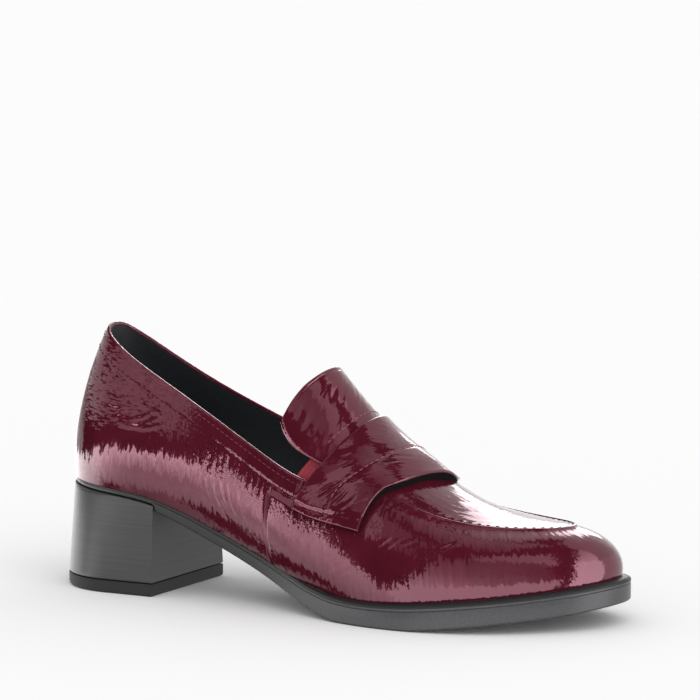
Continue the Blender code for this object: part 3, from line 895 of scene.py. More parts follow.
@dataclass
class Upper:
    """Quarters, vamp, apron and lining: the hollow leather body of the shoe.

    A pair of sizes is a depth and its width, a place and its width, or a fade's two ends.
    """

    last: Last
    leather: float = 1.0
    wall_thickness: float = 1.8
    lining_gap: float = 0.05
    lining_top: float = 0.995
    lining_grid: tuple[int, int] = (361, 40)
    apron_lining_grid: tuple[int, int] = (60, 50)
    step: float = 0.7
    rows: int = 84
    seam_x: float = 111.5
    seam_raise: float = 0.55
    seam_run: Pair = (2.0, 26.0)
    seam_edge: float = 0.8
    seam_top: float = 0.78
    seam_fade: float = 0.08
    seam_trough: Pair = (0.9, 1.2)
    throat_run: float = 6.0
    collar_drop: float = 7.5
    collar_raise: float = 0.1
    collar_groove: Pair = (0.12, 0.5)
    roll_run: Pair = (-3.0, 1.0)
    roll_points: int = 9
    lip_raise: float = 0.3
    lip_width: float = 2.2
    shoulder: float = 1.3
    shoulder_mm: Pair = (2.5, 12.0)
    shoulder_x: Pair = (116.0, 160.0)
    pucker_pitch: float = 3.6
    pucker_raise: float = 0.2
    pucker_place: Pair = (3.2, 1.3)
    pucker_x: Pair = (178.0, 200.0)
    flare: float = 1.2
    flare_mm: float = 4.0
    flare_x: Pair = (130.0, 160.0)
    counter_z: Pair = (63.0, 74.0)
    counter_x: Pair = (50.0, 74.0)
    quarter_shift: Pair = (3.0, -1.0)
    vamp_shift: Pair = (-4.0, 1.0)
    apron_grid: tuple[int, int] = (150, 110)
    apron_tip: float = 0.996
    apron_crowding: float = 1.6
    apron_sink: Pair = (0.5, 1.6)
    apron_pucker: float = 0.1
    apron_pucker_place: Pair = (2.5, 1.6)

    def seam_station(self, v: Array) -> Array:
        """Give the side seam's station at shares up the wall: a straight line between two stations.

        Args:
            v: Shares up the wall.

        Returns:
            The lateral seam's stations.
        """
        low = self.last.station(self.last.feather_line["x"], self.seam_x)
        high = self.last.station(self.last.rim_line["x"], self.seam_x)
        return low + (high - low) * v

    def panel(self, front: bool) -> tuple[Array, Array]:
        """Give the stations and wall shares of one panel's grid.

        The quarters run from seam to seam round the heel, and the vamp round the toe. Each
        line of points up the wall lies at an even share of the way between the two seams.

        Args:
            front: Whether it is the vamp.

        Returns:
            Stations and shares up the wall, each as places along the panel by rows.
        """
        v = np.linspace(0.0, 1.0, self.rows)[None, :]
        seam = self.seam_station(v)
        first, last = (seam, 2 - seam) if front else (-seam, seam)
        middle = self.last.wall(np.linspace(first[0, 0], last[0, 0], 400), 0.5)
        length = float(lengths_along(middle, 0)[-1])
        share = graded(length, self.step, self.seam_edge)[:, None]
        return first + share * (last - first), np.broadcast_to(v, (len(share), self.rows))

    def wall_relief(self, t: Array, v: Array, front: bool) -> Array:
        """Give the relief of one panel's outside, in millimetres along the normal.

        The collar is a low step with a groove under it. The quarter sinks beside the side seam,
        and the vamp's edge lies over it and thins out forwards.

        Args:
            t: Stations.
            v: Shares up the wall.
            front: Whether it is the vamp.

        Returns:
            The relief at each place.
        """
        last = self.last
        point = last.wall(t, v)
        below_rim = np.linalg.norm(last.rim(t) - point, axis=-1)
        seam = self.seam_station(v)
        off_seam = np.minimum(np.linalg.norm(point - last.wall(seam, v), axis=-1),
                              np.linalg.norm(point - last.wall(2 - seam, v), axis=-1))
        under_collar = 1 - smooth_step(v, self.seam_top - self.seam_fade, self.seam_top)
        on_apron = smooth_step(point[..., 0], last.apron_rear_x - self.throat_run, last.apron_rear_x)
        groove, width = self.collar_groove
        collar = self.collar_raise * smooth_step(self.collar_drop - below_rim, -width, width)
        collar -= groove * bell(below_rim - self.collar_drop, width)
        relief = collar * (1 - on_apron)
        if not front:
            trough, width = self.seam_trough
            relief -= trough * bell(off_seam, width) * under_collar
            return relief + self.both_creased(QUARTER_CREASES, self.quarter_shift, point)
        edge = self.seam_raise * under_collar * (1 - smooth_step(off_seam, *self.seam_run))
        relief += edge - np.minimum(edge_drop(off_seam, self.seam_edge), edge)
        relief += self.vamp_relief(t, point, below_rim, on_apron)
        return relief + self.both_creased(VAMP_CREASES, self.vamp_shift, point)

    def vamp_relief(self, t: Array, point: Array, below_rim: Array, on_apron: Array) -> Array:
        """Give the vamp's lip at the apron seam, hollow shoulder, puckers and flared foot.

        Lip, shoulder and flare die away as exponentials, below the rim or above the sole, and
        the puckers are a squared sine along the rim under a bell curve down from it.

        Args:
            t: Stations.
            point: The wall's points there.
            below_rim: Their distances from the rim.
            on_apron: 1 beside the apron and 0 behind the throat.

        Returns:
            The relief at each place.
        """
        x = point[..., 0]
        lip = self.lip_raise * np.exp(-below_rim / self.lip_width)
        start, end = self.shoulder_mm
        hollow = self.shoulder * (1 - np.exp(-below_rim / start)) * np.exp(-below_rim / end)
        pucker = self.puckers(t, below_rim, self.pucker_place)
        pucker *= self.pucker_raise * (1 - smooth_step(x, *self.pucker_x))
        height = point[..., 2] - self.last.feather(t)[..., 2]
        flare = self.flare * np.exp(-height / self.flare_mm) * smooth_step(x, *self.flare_x)
        return (lip - pucker) * on_apron - hollow * smooth_step(x, *self.shoulder_x) + flare

    def puckers(self, t: Array, distance: Array, place: Pair) -> Array:
        """Give puckers of height 1: a squared sine along the rim, under a bell curve away from it."""
        wave = np.sin(np.pi * self.rim_length(t) / self.pucker_pitch) ** 2
        return wave * bell(distance - place[0], place[1])

    @staticmethod
    def both_creased(creases: Sequence[Crease], shift: Pair, point: Array) -> Array:
        """Crease both sides: the outer side as listed, the inner side's list moved in x and z.

        Args:
            creases: The creases, in x and z.
            shift: How far the inner side's places are moved.
            point: Points of the wall.

        Returns:
            The relief at each point.
        """
        x, z = point[..., 0], point[..., 2]
        inner = creased(creases, x + shift[0], z + shift[1])
        return np.where(point[..., 1] < 0, creased(creases, x, z), inner)

    def rim_length(self, t: Array) -> Array:
        """Give the distance along the rim from the heel back, by interpolation."""
        knots = np.linspace(-1.0, 2.0, 3001)
        return np.interp(t, knots, lengths_along(self.last.rim(knots), 0))

    def roll(self, top: Array, t: Array) -> Array:
        """Turn the panel's top edge over: half circles from the outside to the inside.

        The circle is as wide as the whole wall along the topline, and as the leather alone
        where the edge meets the apron.

        Args:
            top: The outside's top points.
            t: Their stations.

        Returns:
            Points of the turned edge, by place along it and angle.
        """
        normal = self.last.wall_normal(t, np.ones_like(t))
        just_below = np.full_like(t, 0.98)
        up = unit(self.last.wall(t, np.ones_like(t)) - self.last.wall(t, just_below))
        at_apron = smooth_step(top[:, 0] - self.last.apron_rear_x, *self.roll_run)
        width = self.wall_thickness + at_apron * (self.leather - self.wall_thickness)
        radius = 0.5 * width[:, None, None]
        angle = np.linspace(0.0, np.pi, self.roll_points)[None, 1:, None]
        centre = top[:, None] - normal[:, None] * radius
        return centre + radius * (normal[:, None] * np.cos(angle) + up[:, None] * np.sin(angle))

    def wall_panel(self, front: bool) -> Skin:
        """Make the quarters or the vamp: wall plus relief, turned over at its top, with its thickness.

        Args:
            front: Whether it is the vamp.

        Returns:
            The panel, with the heel counter as its zone.
        """
        t, v = self.panel(front)
        normal = self.last.wall_normal(t, v)
        base = self.last.wall(t, v)
        outer = base + normal * self.wall_relief(t, v, front)[..., None]
        outer = np.concatenate([outer, self.roll(outer[:, -1], t[:, -1])], axis=1)
        inner = base - normal * self.leather
        along = lengths_along(base[:, self.rows // 2], 0)[:, None]
        chart = np.stack([np.broadcast_to(along, outer.shape[:2]), lengths_along(outer, 1)], -1)
        skin = Skin.shell(outer, inner, chart)
        x, z = skin.points[:, 0], skin.points[:, 2]
        skin.zone = smooth_step(z, *self.counter_z) * (1 - smooth_step(x, *self.counter_x))
        return skin

    def apron_panel(self) -> Skin:
        """Make the apron: the surface over the foot, sunk along its seam and puckered beside it.

        Rows crowd towards the toe as a power of their number, and columns towards the seam.

        Returns:
            The apron.
        """
        rows, columns = self.apron_grid
        crowded = 1 - (1 - np.linspace(0, 1, rows)) ** self.apron_crowding
        rear = self.apron_rear()
        s = (rear + (self.apron_tip - rear) * crowded)[:, None]
        w = cosine_shares(columns)[None, :]
        base, normal = self.last.apron(s, w), self.last.apron_normal(s, w)
        edge = np.minimum(np.linalg.norm(base - base[:, :1], axis=-1),
                          np.linalg.norm(base - base[:, -1:], axis=-1))
        sink, sink_width = self.apron_sink
        relief = -sink * (1 - smooth_step(edge, 0.0, sink_width))
        relief = relief - self.apron_pucker * self.puckers(s, edge, self.apron_pucker_place)
        outer = base + normal * relief[..., None]
        inner = base - normal * self.leather
        along = lengths_along(base[:, base.shape[1] // 2], 0)[:, None]
        chart = np.stack([lengths_along(base, 1), np.broadcast_to(along, base.shape[:2])], -1)
        return Skin.shell(outer, inner, chart)

    def apron_rear(self) -> float:
        """Give the station of the apron's rear edge."""
        return self.last.station(self.last.rim_line["x"], self.last.apron_rear_x)

    def behind_leather(self, base: Array, normal: Array) -> tuple[Array, Array]:
        """Give a lining's outside, just behind the leather, and its inside at the wall's full thickness."""
        return base - normal * (self.leather + self.lining_gap), base - normal * self.wall_thickness

    def lining_wall(self) -> Skin:
        """Make the wall's lining: a thin shell behind the leather, right round the foot.

        Returns:
            The lining.
        """
        round_count, rows = self.lining_grid
        t = np.linspace(0.0, 2.0, round_count)[:-1, None]
        v = np.linspace(0.0, self.lining_top, rows)[None, :]
        outer, inner = self.behind_leather(self.last.wall(t, v), self.last.wall_normal(t, v))
        return Skin.carried(np.concatenate([outer, inner[:, ::-1]], axis=1), closed=True)

    def lining_apron(self) -> Skin:
        """Make the apron's lining: a thin shell under the apron leather.

        Returns:
            The lining.
        """
        rows, columns = self.apron_lining_grid
        s = np.linspace(self.apron_rear(), self.lining_top, rows)[:, None]
        w = cosine_shares(columns)[None, :]
        outer, inner = self.behind_leather(self.last.apron(s, w), self.last.apron_normal(s, w))
        return Skin.shell(outer, inner, np.zeros((rows, columns, 2)))

    def dress(self, maker: Maker, patent: CrinklePatent) -> None:
        """Add the upper's pieces.

        Args:
            maker: What adds the pieces.
            patent: The leather's finish.
        """
        maker.add("upper_quarters", self.wall_panel(False), patent, Slot.PATENT, ["upper"])
        maker.add("upper_vamp", self.wall_panel(True), patent, Slot.PATENT, ["upper"])
        maker.add("upper_apron", self.apron_panel(), patent, Slot.PATENT, ["upper"])
        maker.add("lining_wall", self.lining_wall(), LINING, Slot.LINING, ["upper"])
        maker.add("lining_apron", self.lining_apron(), LINING, Slot.LINING, ["upper"])


@dataclass
class SaddleStrap:
    """The strap over the instep, sewn along its middle and flat at its two ends.

    Ends are places on the lateral wall, as x and z. A groove is a depth and a width, the end zone
    is a length and what the front edge adds to it, and other pairs are a fade's two ends.
    """

    last: Last
    rear_x: float = 126.5
    front_x: float = 158.5
    far_front_x: float = 163.0
    rear_end: Pair = (122.0, 42.8)
    front_end: Pair = (154.0, 36.2)
    end_height: float = 16.0
    step: float = 0.6
    rows_dropped: int = 3
    over_count: int = 112
    skew: Pair = (0.3, 0.8)
    smoothing: float = 2.5
    soft_run: Pair = (3.0, 9.0)
    thickness: float = 2.2
    front_thickness: float = 1.5
    taper: Pair = (0.3, 1.0)
    lift: float = 3.0
    rise_from: float = 0.1
    rise_to: float = 0.8
    near_lift: float = 0.35
    far_lift: float = 0.15
    far_fall: Pair = (0.5, 0.8)
    width: float = 33.0
    leather: float = 1.4
    edge_radius: float = 0.7
    end_step: float = 0.5
    end_zone: Pair = (3.2, 2.6)
    end_fade: Pair = (-0.4, 0.5)
    end_groove: Pair = (0.25, 0.5)
    seam_share: float = 0.5
    seam_groove: Pair = (0.12, 0.6)
    lining_part: Pair = (0.03, 0.982)
    lining_count: int = 40
    lining_inset: int = 5
    lining_gap: float = 0.03
    lining_rise: float = 0.15

    def bed(self, share: Array) -> tuple[Array, Array]:
        """Give the lines across the foot that the strap lies on, and each place's share of the lift.

        Each line follows the wall, the apron and the far wall. The top rows of a wall are left out
        where the apron's close columns take over.

        Args:
            share: Shares of the width, as a column, 0 at the rear edge.

        Returns:
            Points, and shares of the lift.
        """
        last = self.last
        rear, front, far_front = (last.station(last.rim_line["x"], x)
                                  for x in (self.rear_x, self.front_x, self.far_front_x))
        rear_end, front_end = last.place_on_wall(*self.rear_end), last.place_on_wall(*self.front_end)
        up = graded(self.end_height, self.step, self.edge_radius)[None, :-self.rows_dropped]
        top, far_top = rear + share * (front - rear), rear + share * (far_front - rear)
        end_s, end_v = (rear_end[i] + share * (front_end[i] - rear_end[i]) for i in (0, 1))
        v = end_v + up * (1 - end_v)
        over = cosine_shares(self.over_count)[None, 1:-1]
        middle = last.apron(top + (far_top - top) * smooth_step(over, *self.skew), over)
        near_wall = last.wall(end_s + up * (top - end_s), v)
        far_wall = last.wall(2 - end_s - up * (far_top - end_s), v)
        near_side = self.near_lift + (1 - self.near_lift) * up
        far_side = 1 - (1 - self.far_lift) * smooth_step(over, *self.far_fall)
        raised = np.concatenate([near_side, far_side, self.far_lift * up[:, ::-1] ** 2], axis=1)
        return np.concatenate([near_wall, middle, far_wall[:, ::-1]], axis=1), raised

    def surface(self, part: Array) -> tuple[Array, Array, Array, Array]:
        """Give the line that the strap lies on, and how far its outside stands off it.

        Every point of a line across is averaged with its neighbours under a bell curve, so that
        the strap bridges the rims softly. Its front lifts off as a squared sine.

        Args:
            part: Shares of the width, 0 at the rear edge.

        Returns:
            Points, outward normals, the outside's distance, and the length across from the lateral end.
        """
        share = part[:, None]
        line, raised = self.bed(share)
        across = lengths_along(line, 1)
        weight = bell(across[:, :, None] - across[:, None, :], self.smoothing * np.sqrt(2))
        soft = np.einsum("ijk,ikd->ijd", weight / weight.sum(-1, keepdims=True), line)
        inner = smooth_step(np.minimum(across, across[:, -1:] - across), *self.soft_run)[..., None]
        line = line + (soft - line) * inner
        normal = unit(np.cross(np.gradient(line, axis=0), np.gradient(line, axis=1)))
        rise = np.clip((share - self.rise_from) / (self.rise_to - self.rise_from), 0, 1)
        lift = self.lift * np.sin(0.5 * np.pi * rise) ** 2 * raised
        body = self.thickness + (self.front_thickness - self.thickness) * smooth_step(share, *self.taper)
        return line, normal, self.last.gap + body + lift, across

    def skin(self) -> Skin:
        """Make the strap: rounded edges, a sewn trough along its middle and stepped flat ends.

        Returns:
            The strap's leather.
        """
        part = graded(self.width, self.step, self.edge_radius)
        line, normal, rise, across = self.surface(part)
        point = line + normal * rise[..., None]
        share = np.broadcast_to(part[:, None], across.shape)
        along = share * self.width
        from_edge = np.minimum(along, self.width - along)
        from_end = np.minimum(across, across[:, -1:] - across)
        past_zone = from_end - (self.end_zone[0] + self.end_zone[1] * share ** 2)
        relief = creased(STRAP_CREASES, across, along)
        off_seam = along - self.seam_share * self.width
        relief = relief - self.seam_groove[0] * bell(off_seam, self.seam_groove[1])
        relief = relief - self.end_step * (1 - smooth_step(past_zone, *self.end_fade))
        relief = relief - self.end_groove[0] * bell(past_zone, self.end_groove[1])
        drop = np.maximum(edge_drop(from_edge, self.edge_radius), edge_drop(from_end, self.edge_radius))
        outer = point + normal * (relief - drop)[..., None]
        inner = point - normal * (self.leather - drop)[..., None]
        return Skin.shell(outer, inner, turned_chart(along, across))

    def lining(self) -> Skin:
        """Make the strap's lining: it fills the space under the leather, just short of its edges, as a dead
        black block of painted shadow in the gap under the lifted strap.

        Returns:
            The lining.
        """
        whole = self.surface(np.linspace(*self.lining_part, self.lining_count))
        line, normal, rise, _ = (value[:, self.lining_inset:-self.lining_inset] for value in whole)
        outer = line + normal * (rise - self.leather - self.lining_gap)[..., None]
        return Skin.shell(outer, line + normal * self.lining_rise, np.zeros((*rise.shape, 2)))

    def dress(self, maker: Maker, patent: CrinklePatent) -> None:
        """Add the strap."""
        maker.add("strap_leather", self.skin(), patent, Slot.PATENT, ["saddle_strap"])
        # The strap's lining, dead black, also stands in for the shadow in the gap under the strap.
        maker.add("strap_lining_and_shadow", self.lining(), STRAP_FELT_AND_SHADOW, Slot.LINING, ["saddle_strap"])


@dataclass
class Tongue:
    """The tongue that stands up behind the strap.

    The swell's run is a middle and a width, as shares along, and the hem a depth and a width.
    """

    last: Last
    strap_rear_x: float = 126.5
    thickness: float = 1.8
    inset: float = 0.06
    foot_gaps: float = 1.5
    under_strap: float = 0.23
    arch: float = 0.6
    spread: float = 0.94
    tip_round: float = 0.24
    tip_power: float = 6.0
    swell: float = 0.042
    swell_run: Pair = (0.5, 0.3)
    half_width: float = 24.0
    height: float = 42.0
    step: float = 0.7
    edge_radius: float = 0.7
    hem_inset: float = 3.4
    hem: Pair = (0.2, 0.5)
    rows: dict[str, Array] = field(init=False)

    def __post_init__(self) -> None:
        """Scale the tongue's own rows."""
        self.rows = Last.columns(
            {"along": 1.0, "ridge_x": self.last.length, "ridge_z": self.last.instep_height,
             "drop_x": 1.0, "drop_z": 1.0, "half_width": self.last.ball_width}, TONGUE_ROWS)

    def surface(self, u: Array, along: Array) -> Array:
        """Give points of the tongue: u -1 to 1 across it, along 0 at its foot to 1 at its tip.

        The foot and the line behind the strap lie on the apron's surface, the rest follows the
        tongue's own rows, and each line of points along it is the cubic through the four.

        Args:
            u: Places across.
            along: Places along.

        Returns:
            Points in millimetres.
        """
        last = self.last
        u, along = np.broadcast_arrays(np.asarray(u, float), np.asarray(along, float))
        foot = last.station(last.rim_line["x"], last.apron_rear_x - self.foot_gaps * last.gap)
        behind = last.station(last.rim_line["x"], self.strap_rear_x - last.gap)
        share = self.inset + (1 - 2 * self.inset) * (u + 1) / 2
        lines = [last.apron(foot, share), last.apron(behind, share)]
        arch = 1 - np.clip(1 - (self.spread * u) ** 2, 0, 1) ** self.arch
        arch /= 1 - (1 - self.spread ** 2) ** self.arch
        for i in range(len(self.rows["along"])):
            row = {name: column[i] for name, column in self.rows.items()}
            x, z = row["ridge_x"] - row["drop_x"] * arch, row["ridge_z"] - row["drop_z"] * arch
            lines.append(np.stack([x, row["half_width"] * u, z], -1))
        knot = np.concatenate([[0.0, self.under_strap], self.rows["along"]])
        point = np.zeros_like(lines[0])
        for i, line in enumerate(lines):
            others = np.delete(knot, i)
            weight = np.prod((along[..., None] - others) / (knot[i] - others), axis=-1)
            point += weight[..., None] * line
        return point

    def normal(self, u: Array, along: Array) -> Array:
        """Give the tongue's outward unit normals at places across and along it."""
        return slope_normal(self.surface, u, along)

    def reach(self, u: Array) -> Array:
        """Give how far along the rounded tip lies at each place across."""
        return 1 - self.tip_round * np.abs(u) ** self.tip_power

    def skin(self) -> Skin:
        """Make the tongue: its surface with listed creases, a sewn hem and rounded edges.

        Returns:
            The tongue's leather.
        """
        u = (2 * graded(2 * self.half_width, self.step, self.edge_radius) - 1)[:, None]
        along = graded(self.height, self.step, self.edge_radius)[None, :] * self.reach(u)
        u = np.broadcast_to(u, along.shape)
        wide = u * (1 + self.swell * bell(along - self.swell_run[0], self.swell_run[1]))
        base, normal = self.surface(wide, along), self.normal(wide, along)
        across_mm, along_mm = u * self.half_width, along * self.height
        from_edge = np.minimum(self.half_width * (1 - np.abs(u)), (self.reach(u) - along) * self.height)
        relief = creased(TONGUE_CREASES, across_mm, along_mm)
        relief = relief - self.hem[0] * bell(from_edge - self.hem_inset, self.hem[1])
        drop = edge_drop(from_edge, self.edge_radius)
        outer = base + normal * (relief - drop)[..., None]
        inner = base - normal * (self.thickness - drop)[..., None]
        return Skin.shell(outer, inner, turned_chart(across_mm, along_mm))

    def dress(self, maker: Maker, patent: CrinklePatent) -> None:
        """Add the tongue."""
        maker.add("tongue_leather", self.skin(), patent, Slot.PATENT, ["tongue"])


@dataclass
class Gore:
    """One elastic gusset between quarter and tongue."""

    last: Last
    tongue: Tongue
    side: Side
    rear_x: float = 116.5
    front_x: float = 129.0
    on_tongue: float = 0.38
    low_edge: float = 0.9
    high_edge: float = 0.8
    clear: float = 2.1
    low_clear: float = 1.3
    thickness: float = 1.0
    rib_pitch: float = 1.1
    rib_raise: float = 0.16
    nearby: float = 0.06
    grid: tuple[int, int] = (61, 25)

    def inside(self, points: Array, near: Array, depth: float) -> Array:
        """Move a line of points through a skin, to its inner side, along the skin's normals."""
        normal = unit(np.cross(near - points, np.gradient(points, axis=0)))
        return points - normal * np.sign(normal[:, 1:2] * self.side.value) * depth

    def skin(self) -> Skin:
        """Make the gusset: straight lines from inside the quarter to under the tongue, with ribs.

        Ribs are a cosine of the length along the gusset.

        Returns:
            The gusset.
        """
        last = self.last
        share = np.linspace(0, 1, self.grid[0])
        rear, front = (last.station(last.rim_line["x"], x) for x in (self.rear_x, self.front_x))
        s = rear + share * (front - rear)
        t = s if self.side is Side.LATERAL else 2 - s
        along = self.on_tongue * (1 - share)
        low = self.inside(last.wall(t, self.low_edge), last.wall(t, self.low_edge + self.nearby),
                          self.clear + self.low_clear)
        edge, beyond = (u * self.side.value for u in (self.high_edge, self.high_edge + self.nearby))
        high = self.inside(self.tongue.surface(edge, along), self.tongue.surface(beyond, along),
                           self.clear + 0.5 * last.gap)
        k = np.linspace(0, 1, self.grid[1])[None, :, None]
        base = low[:, None] + k * (high - low)[:, None]
        normal = unit(np.cross(np.gradient(base, axis=0), np.gradient(base, axis=1)))
        normal *= np.sign(normal[..., 1:2] * self.side.value)
        rib = self.rib_raise * np.cos(2 * np.pi * lengths_along(base, 0) / self.rib_pitch)
        outer = base + normal * rib[..., None]
        return Skin.shell(outer, base - normal * self.thickness, np.zeros((*base.shape[:2], 2)))

    def dress(self, maker: Maker) -> None:
        """Add the gusset."""
        name = self.side.name.lower()
        maker.add(f"elastic_gusset_{name}", self.skin(), ELASTIC, Slot.ELASTIC, [f"gore_{name}"])


@dataclass
class Bottom:
    """Insole, outsole, heel block and top piece.

    The groove is a depth in millimetres and a width as a share of the sole's depth. Details of the
    edge shrink, down to the least share, where the sole is thin or its ledge narrow.
    """

    last: Last
    wall_thickness: float = 1.8
    insole_thickness: float = 2.0
    insole_edge: float = 0.8
    insole_count: int = 160
    heel_seat: float = 2.0
    breast_x: float = 52.5
    breast_half_width: float = 28.2
    breast_step: float = 0.1
    heel_count: int = 70
    fore_count: int = 240
    turn_count: int = 8
    side_shares: tuple[float, ...] = (0.24, 0.26, 0.275, 0.29, 0.32, 0.6)
    groove_share: float = 0.275
    groove: Pair = (0.3, 0.013)
    full_depth: float = 9.0
    full_ledge: float = 3.0
    least: float = 0.2
    foot_share: float = 0.12
    foot_draw: float = 0.1
    arch_x: Pair = (95.0, 150.0)
    welt_share: float = 0.6
    welt_reach: Pair = (0.25, 2.6)
    welt_drop: float = 1.4
    welt_depth: float = 0.2
    welt_skin: float = 0.06
    welt_lip: float = 0.4
    welt_root: float = 0.8
    welt_foot: float = 0.17
    heel_back_x: float = -0.4
    heel_widest_x: float = 29.0
    heel_half_width: float = 29.0
    heel_curve_share: float = 0.62
    heel_outset: float = 0.2
    heel_points: int = 181
    heel_drop: float = 40.0
    heel_step: float = 2.0
    top_piece: float = 5.3
    top_piece_step: float = 0.9
    top_piece_taper: float = 0.02
    top_piece_foot: float = 0.85
    edge_radius: float = 0.5

    def stations(self) -> Array:
        """Give the sole's stations, close together on both sides of the heel breast.

        Returns:
            The stations, right round.
        """
        breast = self.last.station(self.last.feather_line["x"], self.breast_x + self.last.gap)
        step = self.breast_step / self.last.length
        return both_ways(np.concatenate([np.linspace(0, breast - step, self.heel_count),
                                         np.linspace(breast + step, 1, self.fore_count)]))

    def underside(self, t: Array, seat: Array | bool) -> Array:
        """Give the height of the sole's underside: flat under the ball, thin on the heel seat.

        Args:
            t: Stations round the foot.
            seat: Where the heel seat is.

        Returns:
            The heights.
        """
        tread = np.maximum(self.last.both_sides(self.last.feather_line["tread"], t), 0.0)
        top = self.last.both_sides(self.last.feather_line["height"], t)
        return np.where(seat, top - self.heel_seat, tread)

    def edge_line(self) -> tuple[Array, Array, Array, Array]:
        """Give the sole's outline, from which its edge profile is carried.

        Returns:
            Feather points, outward vectors, and the ledge and the sole's depth there.
        """
        t = self.stations()
        breast = self.last.station(self.last.feather_line["x"], self.breast_x)
        line, out = self.last.feather(t), self.last.outward(t)
        ledge = self.last.both_sides(self.last.feather_line["ledge"], t)
        return line, out, ledge, line[:, 2] - self.underside(t, np.minimum(t, 2 - t) < breast)

    def outsole(self) -> Skin:
        """Make the sole: its edge profile carried down from its outline.

        From the top, the edge is a welt that rounds off as a quarter ellipse, a fine groove a
        quarter of the way down, a flat side and a rounded foot.

        Returns:
            The sole, with its waist and heel seat as its zone, where its tone is darkened as painted shade.
        """
        line, out, ledge, depth = self.edge_line()
        reach, drop = self.welt_size(ledge, depth)
        turn = np.linspace(0, np.pi / 2, self.turn_count)[:, None]
        side = np.array(self.side_shares)[:, None]
        groove = self.groove[0] * bell(side - self.groove_share, self.groove[1])
        groove = groove * np.clip(depth / self.full_depth, self.least, 1.0)
        down = np.concatenate([drop * (1 - np.cos(turn)), side * depth,
                               (1 - self.foot_share * (1 - np.sin(turn))) * depth])
        draw = np.concatenate([reach * (1 - np.sin(turn)), groove,
                               self.foot_draw * depth * (1 - np.cos(turn))])
        skin = self.ring_stack(line + out * (ledge - draw)[..., None] - UP * down[..., None])
        # Painted shade: the zone is 1 behind the arch and fades out towards the ball, darkening the sole's
        # tone there.
        skin.zone = 1 - smooth_step(skin.points[:, 0], *self.arch_x)
        return skin

    def welt_size(self, ledge: Array, depth: Array) -> tuple[Array, Array]:
        """Give how far the welt's quarter ellipse reaches in and down.

        Args:
            ledge: How far the sole stands out.
            depth: How deep its edge is.

        Returns:
            The reach in and the drop.
        """
        drop = np.minimum(self.welt_drop, self.welt_depth * depth)
        drop = drop * np.clip(ledge / self.full_ledge, self.least, 1.0)
        return np.clip(self.welt_share * ledge, *self.welt_reach), drop

    def welt(self) -> Skin:
        """Make the welt: a thin skin over the sole's upper edge, from the wall down to the groove.

        Returns:
            The welt.
        """
        line, out, ledge, depth = (value[:, None] for value in self.edge_line())
        reach, drop = self.welt_size(ledge, depth)
        turn = np.linspace(0, np.pi / 2, self.turn_count)
        over = ledge - reach * (1 - np.sin(turn)) + self.welt_skin * np.sin(turn)
        down = drop * (1 - np.cos(turn)) - self.welt_skin * np.cos(turn)
        over = np.concatenate([over, ledge + self.welt_skin, ledge - self.welt_lip,
                               ledge - reach - self.welt_root], axis=1)
        foot = self.welt_depth * depth
        down = np.concatenate([down, self.welt_foot * depth, foot, foot], axis=1)
        return Skin.carried(line + out * over[..., None] - UP * down[..., None], closed=True)

    @staticmethod
    def ring_stack(rings: Array) -> Skin:
        """Close a stack of outlines whose points, taken from the heel both ways, face each other.

        Args:
            rings: The outlines, the top one first.

        Returns:
            The closed surface.
        """
        count, size, _ = rings.shape
        skin = Skin.carried(rings)
        skin.faces = skin.faces[:(count - 1) * size]
        for start, way in ((0, 1), ((count - 1) * size, -1)):
            for i in range(size // 2):
                strip = list(dict.fromkeys([i, i + 1, size - i - 1, (size - i) % size]))
                skin.faces.append([start + k for k in strip[::way]])
        return skin

    def insole(self) -> Skin:
        """Make the sock: a thin slab just inside the wall, with a rounded upper edge.

        Returns:
            The sock.
        """
        t = both_ways(np.linspace(0, 1, self.insole_count))
        line, out = self.last.feather(t), self.last.outward(t)
        low = line - out * (self.wall_thickness + 2 * self.last.gap) + UP * self.last.gap
        angle = np.linspace(0, np.pi / 2, EDGE_POINTS)[:, None, None]
        edge = low + UP * (self.insole_thickness - self.insole_edge) - out * self.insole_edge
        rings = edge + self.insole_edge * (out * np.sin(angle) + UP * np.cos(angle))
        return self.ring_stack(np.concatenate([rings, low[None]]))

    def heel_shares(self) -> Array:
        """Give places round the heel: -1 and 1 at the breast corners, 0 at the back."""
        return np.linspace(-1, 1, self.heel_points)

    def heel_tread(self, share: Array) -> Array:
        """Give the heel's outline on the ground: half an ellipse, then straight sides to the breast.

        Args:
            share: Places round the heel.

        Returns:
            Points on the ground.
        """
        turn = np.clip(np.abs(share) / self.heel_curve_share, 0, 1) * np.pi / 2
        straight = np.clip((np.abs(share) - self.heel_curve_share) / (1 - self.heel_curve_share), 0, 1)
        x = self.heel_widest_x - (self.heel_widest_x - self.heel_back_x) * np.cos(turn)
        x = x + straight * (self.breast_x - self.heel_widest_x)
        half = self.heel_half_width * np.sin(turn)
        half = half + straight * (self.breast_half_width - self.heel_half_width)
        return np.stack([x, np.sign(share) * half, np.zeros_like(x)], -1)

    def heel_block(self) -> Skin:
        """Make the heel block: straight lines from the heel seat's outline to the top piece's.

        Returns:
            The block.
        """
        share = self.heel_shares()
        t = np.mod(-share * self.last.station(self.last.feather_line["x"], self.breast_x), 2.0)
        seat = self.last.feather(t) + self.last.outward(t) * self.heel_outset
        seat[:, 0] = np.minimum(seat[:, 0], self.breast_x)
        seat[:, 2] = self.underside(t, True) - self.last.gap
        low = self.heel_tread(share) + UP * (self.top_piece + self.last.gap)
        k = graded(self.heel_drop, self.heel_step, self.edge_radius)
        rings = seat + k[:, None, None] * (low - seat)
        return Skin.carried(self.drawn_in(rings, self.heel_drop * k, self.heel_drop))

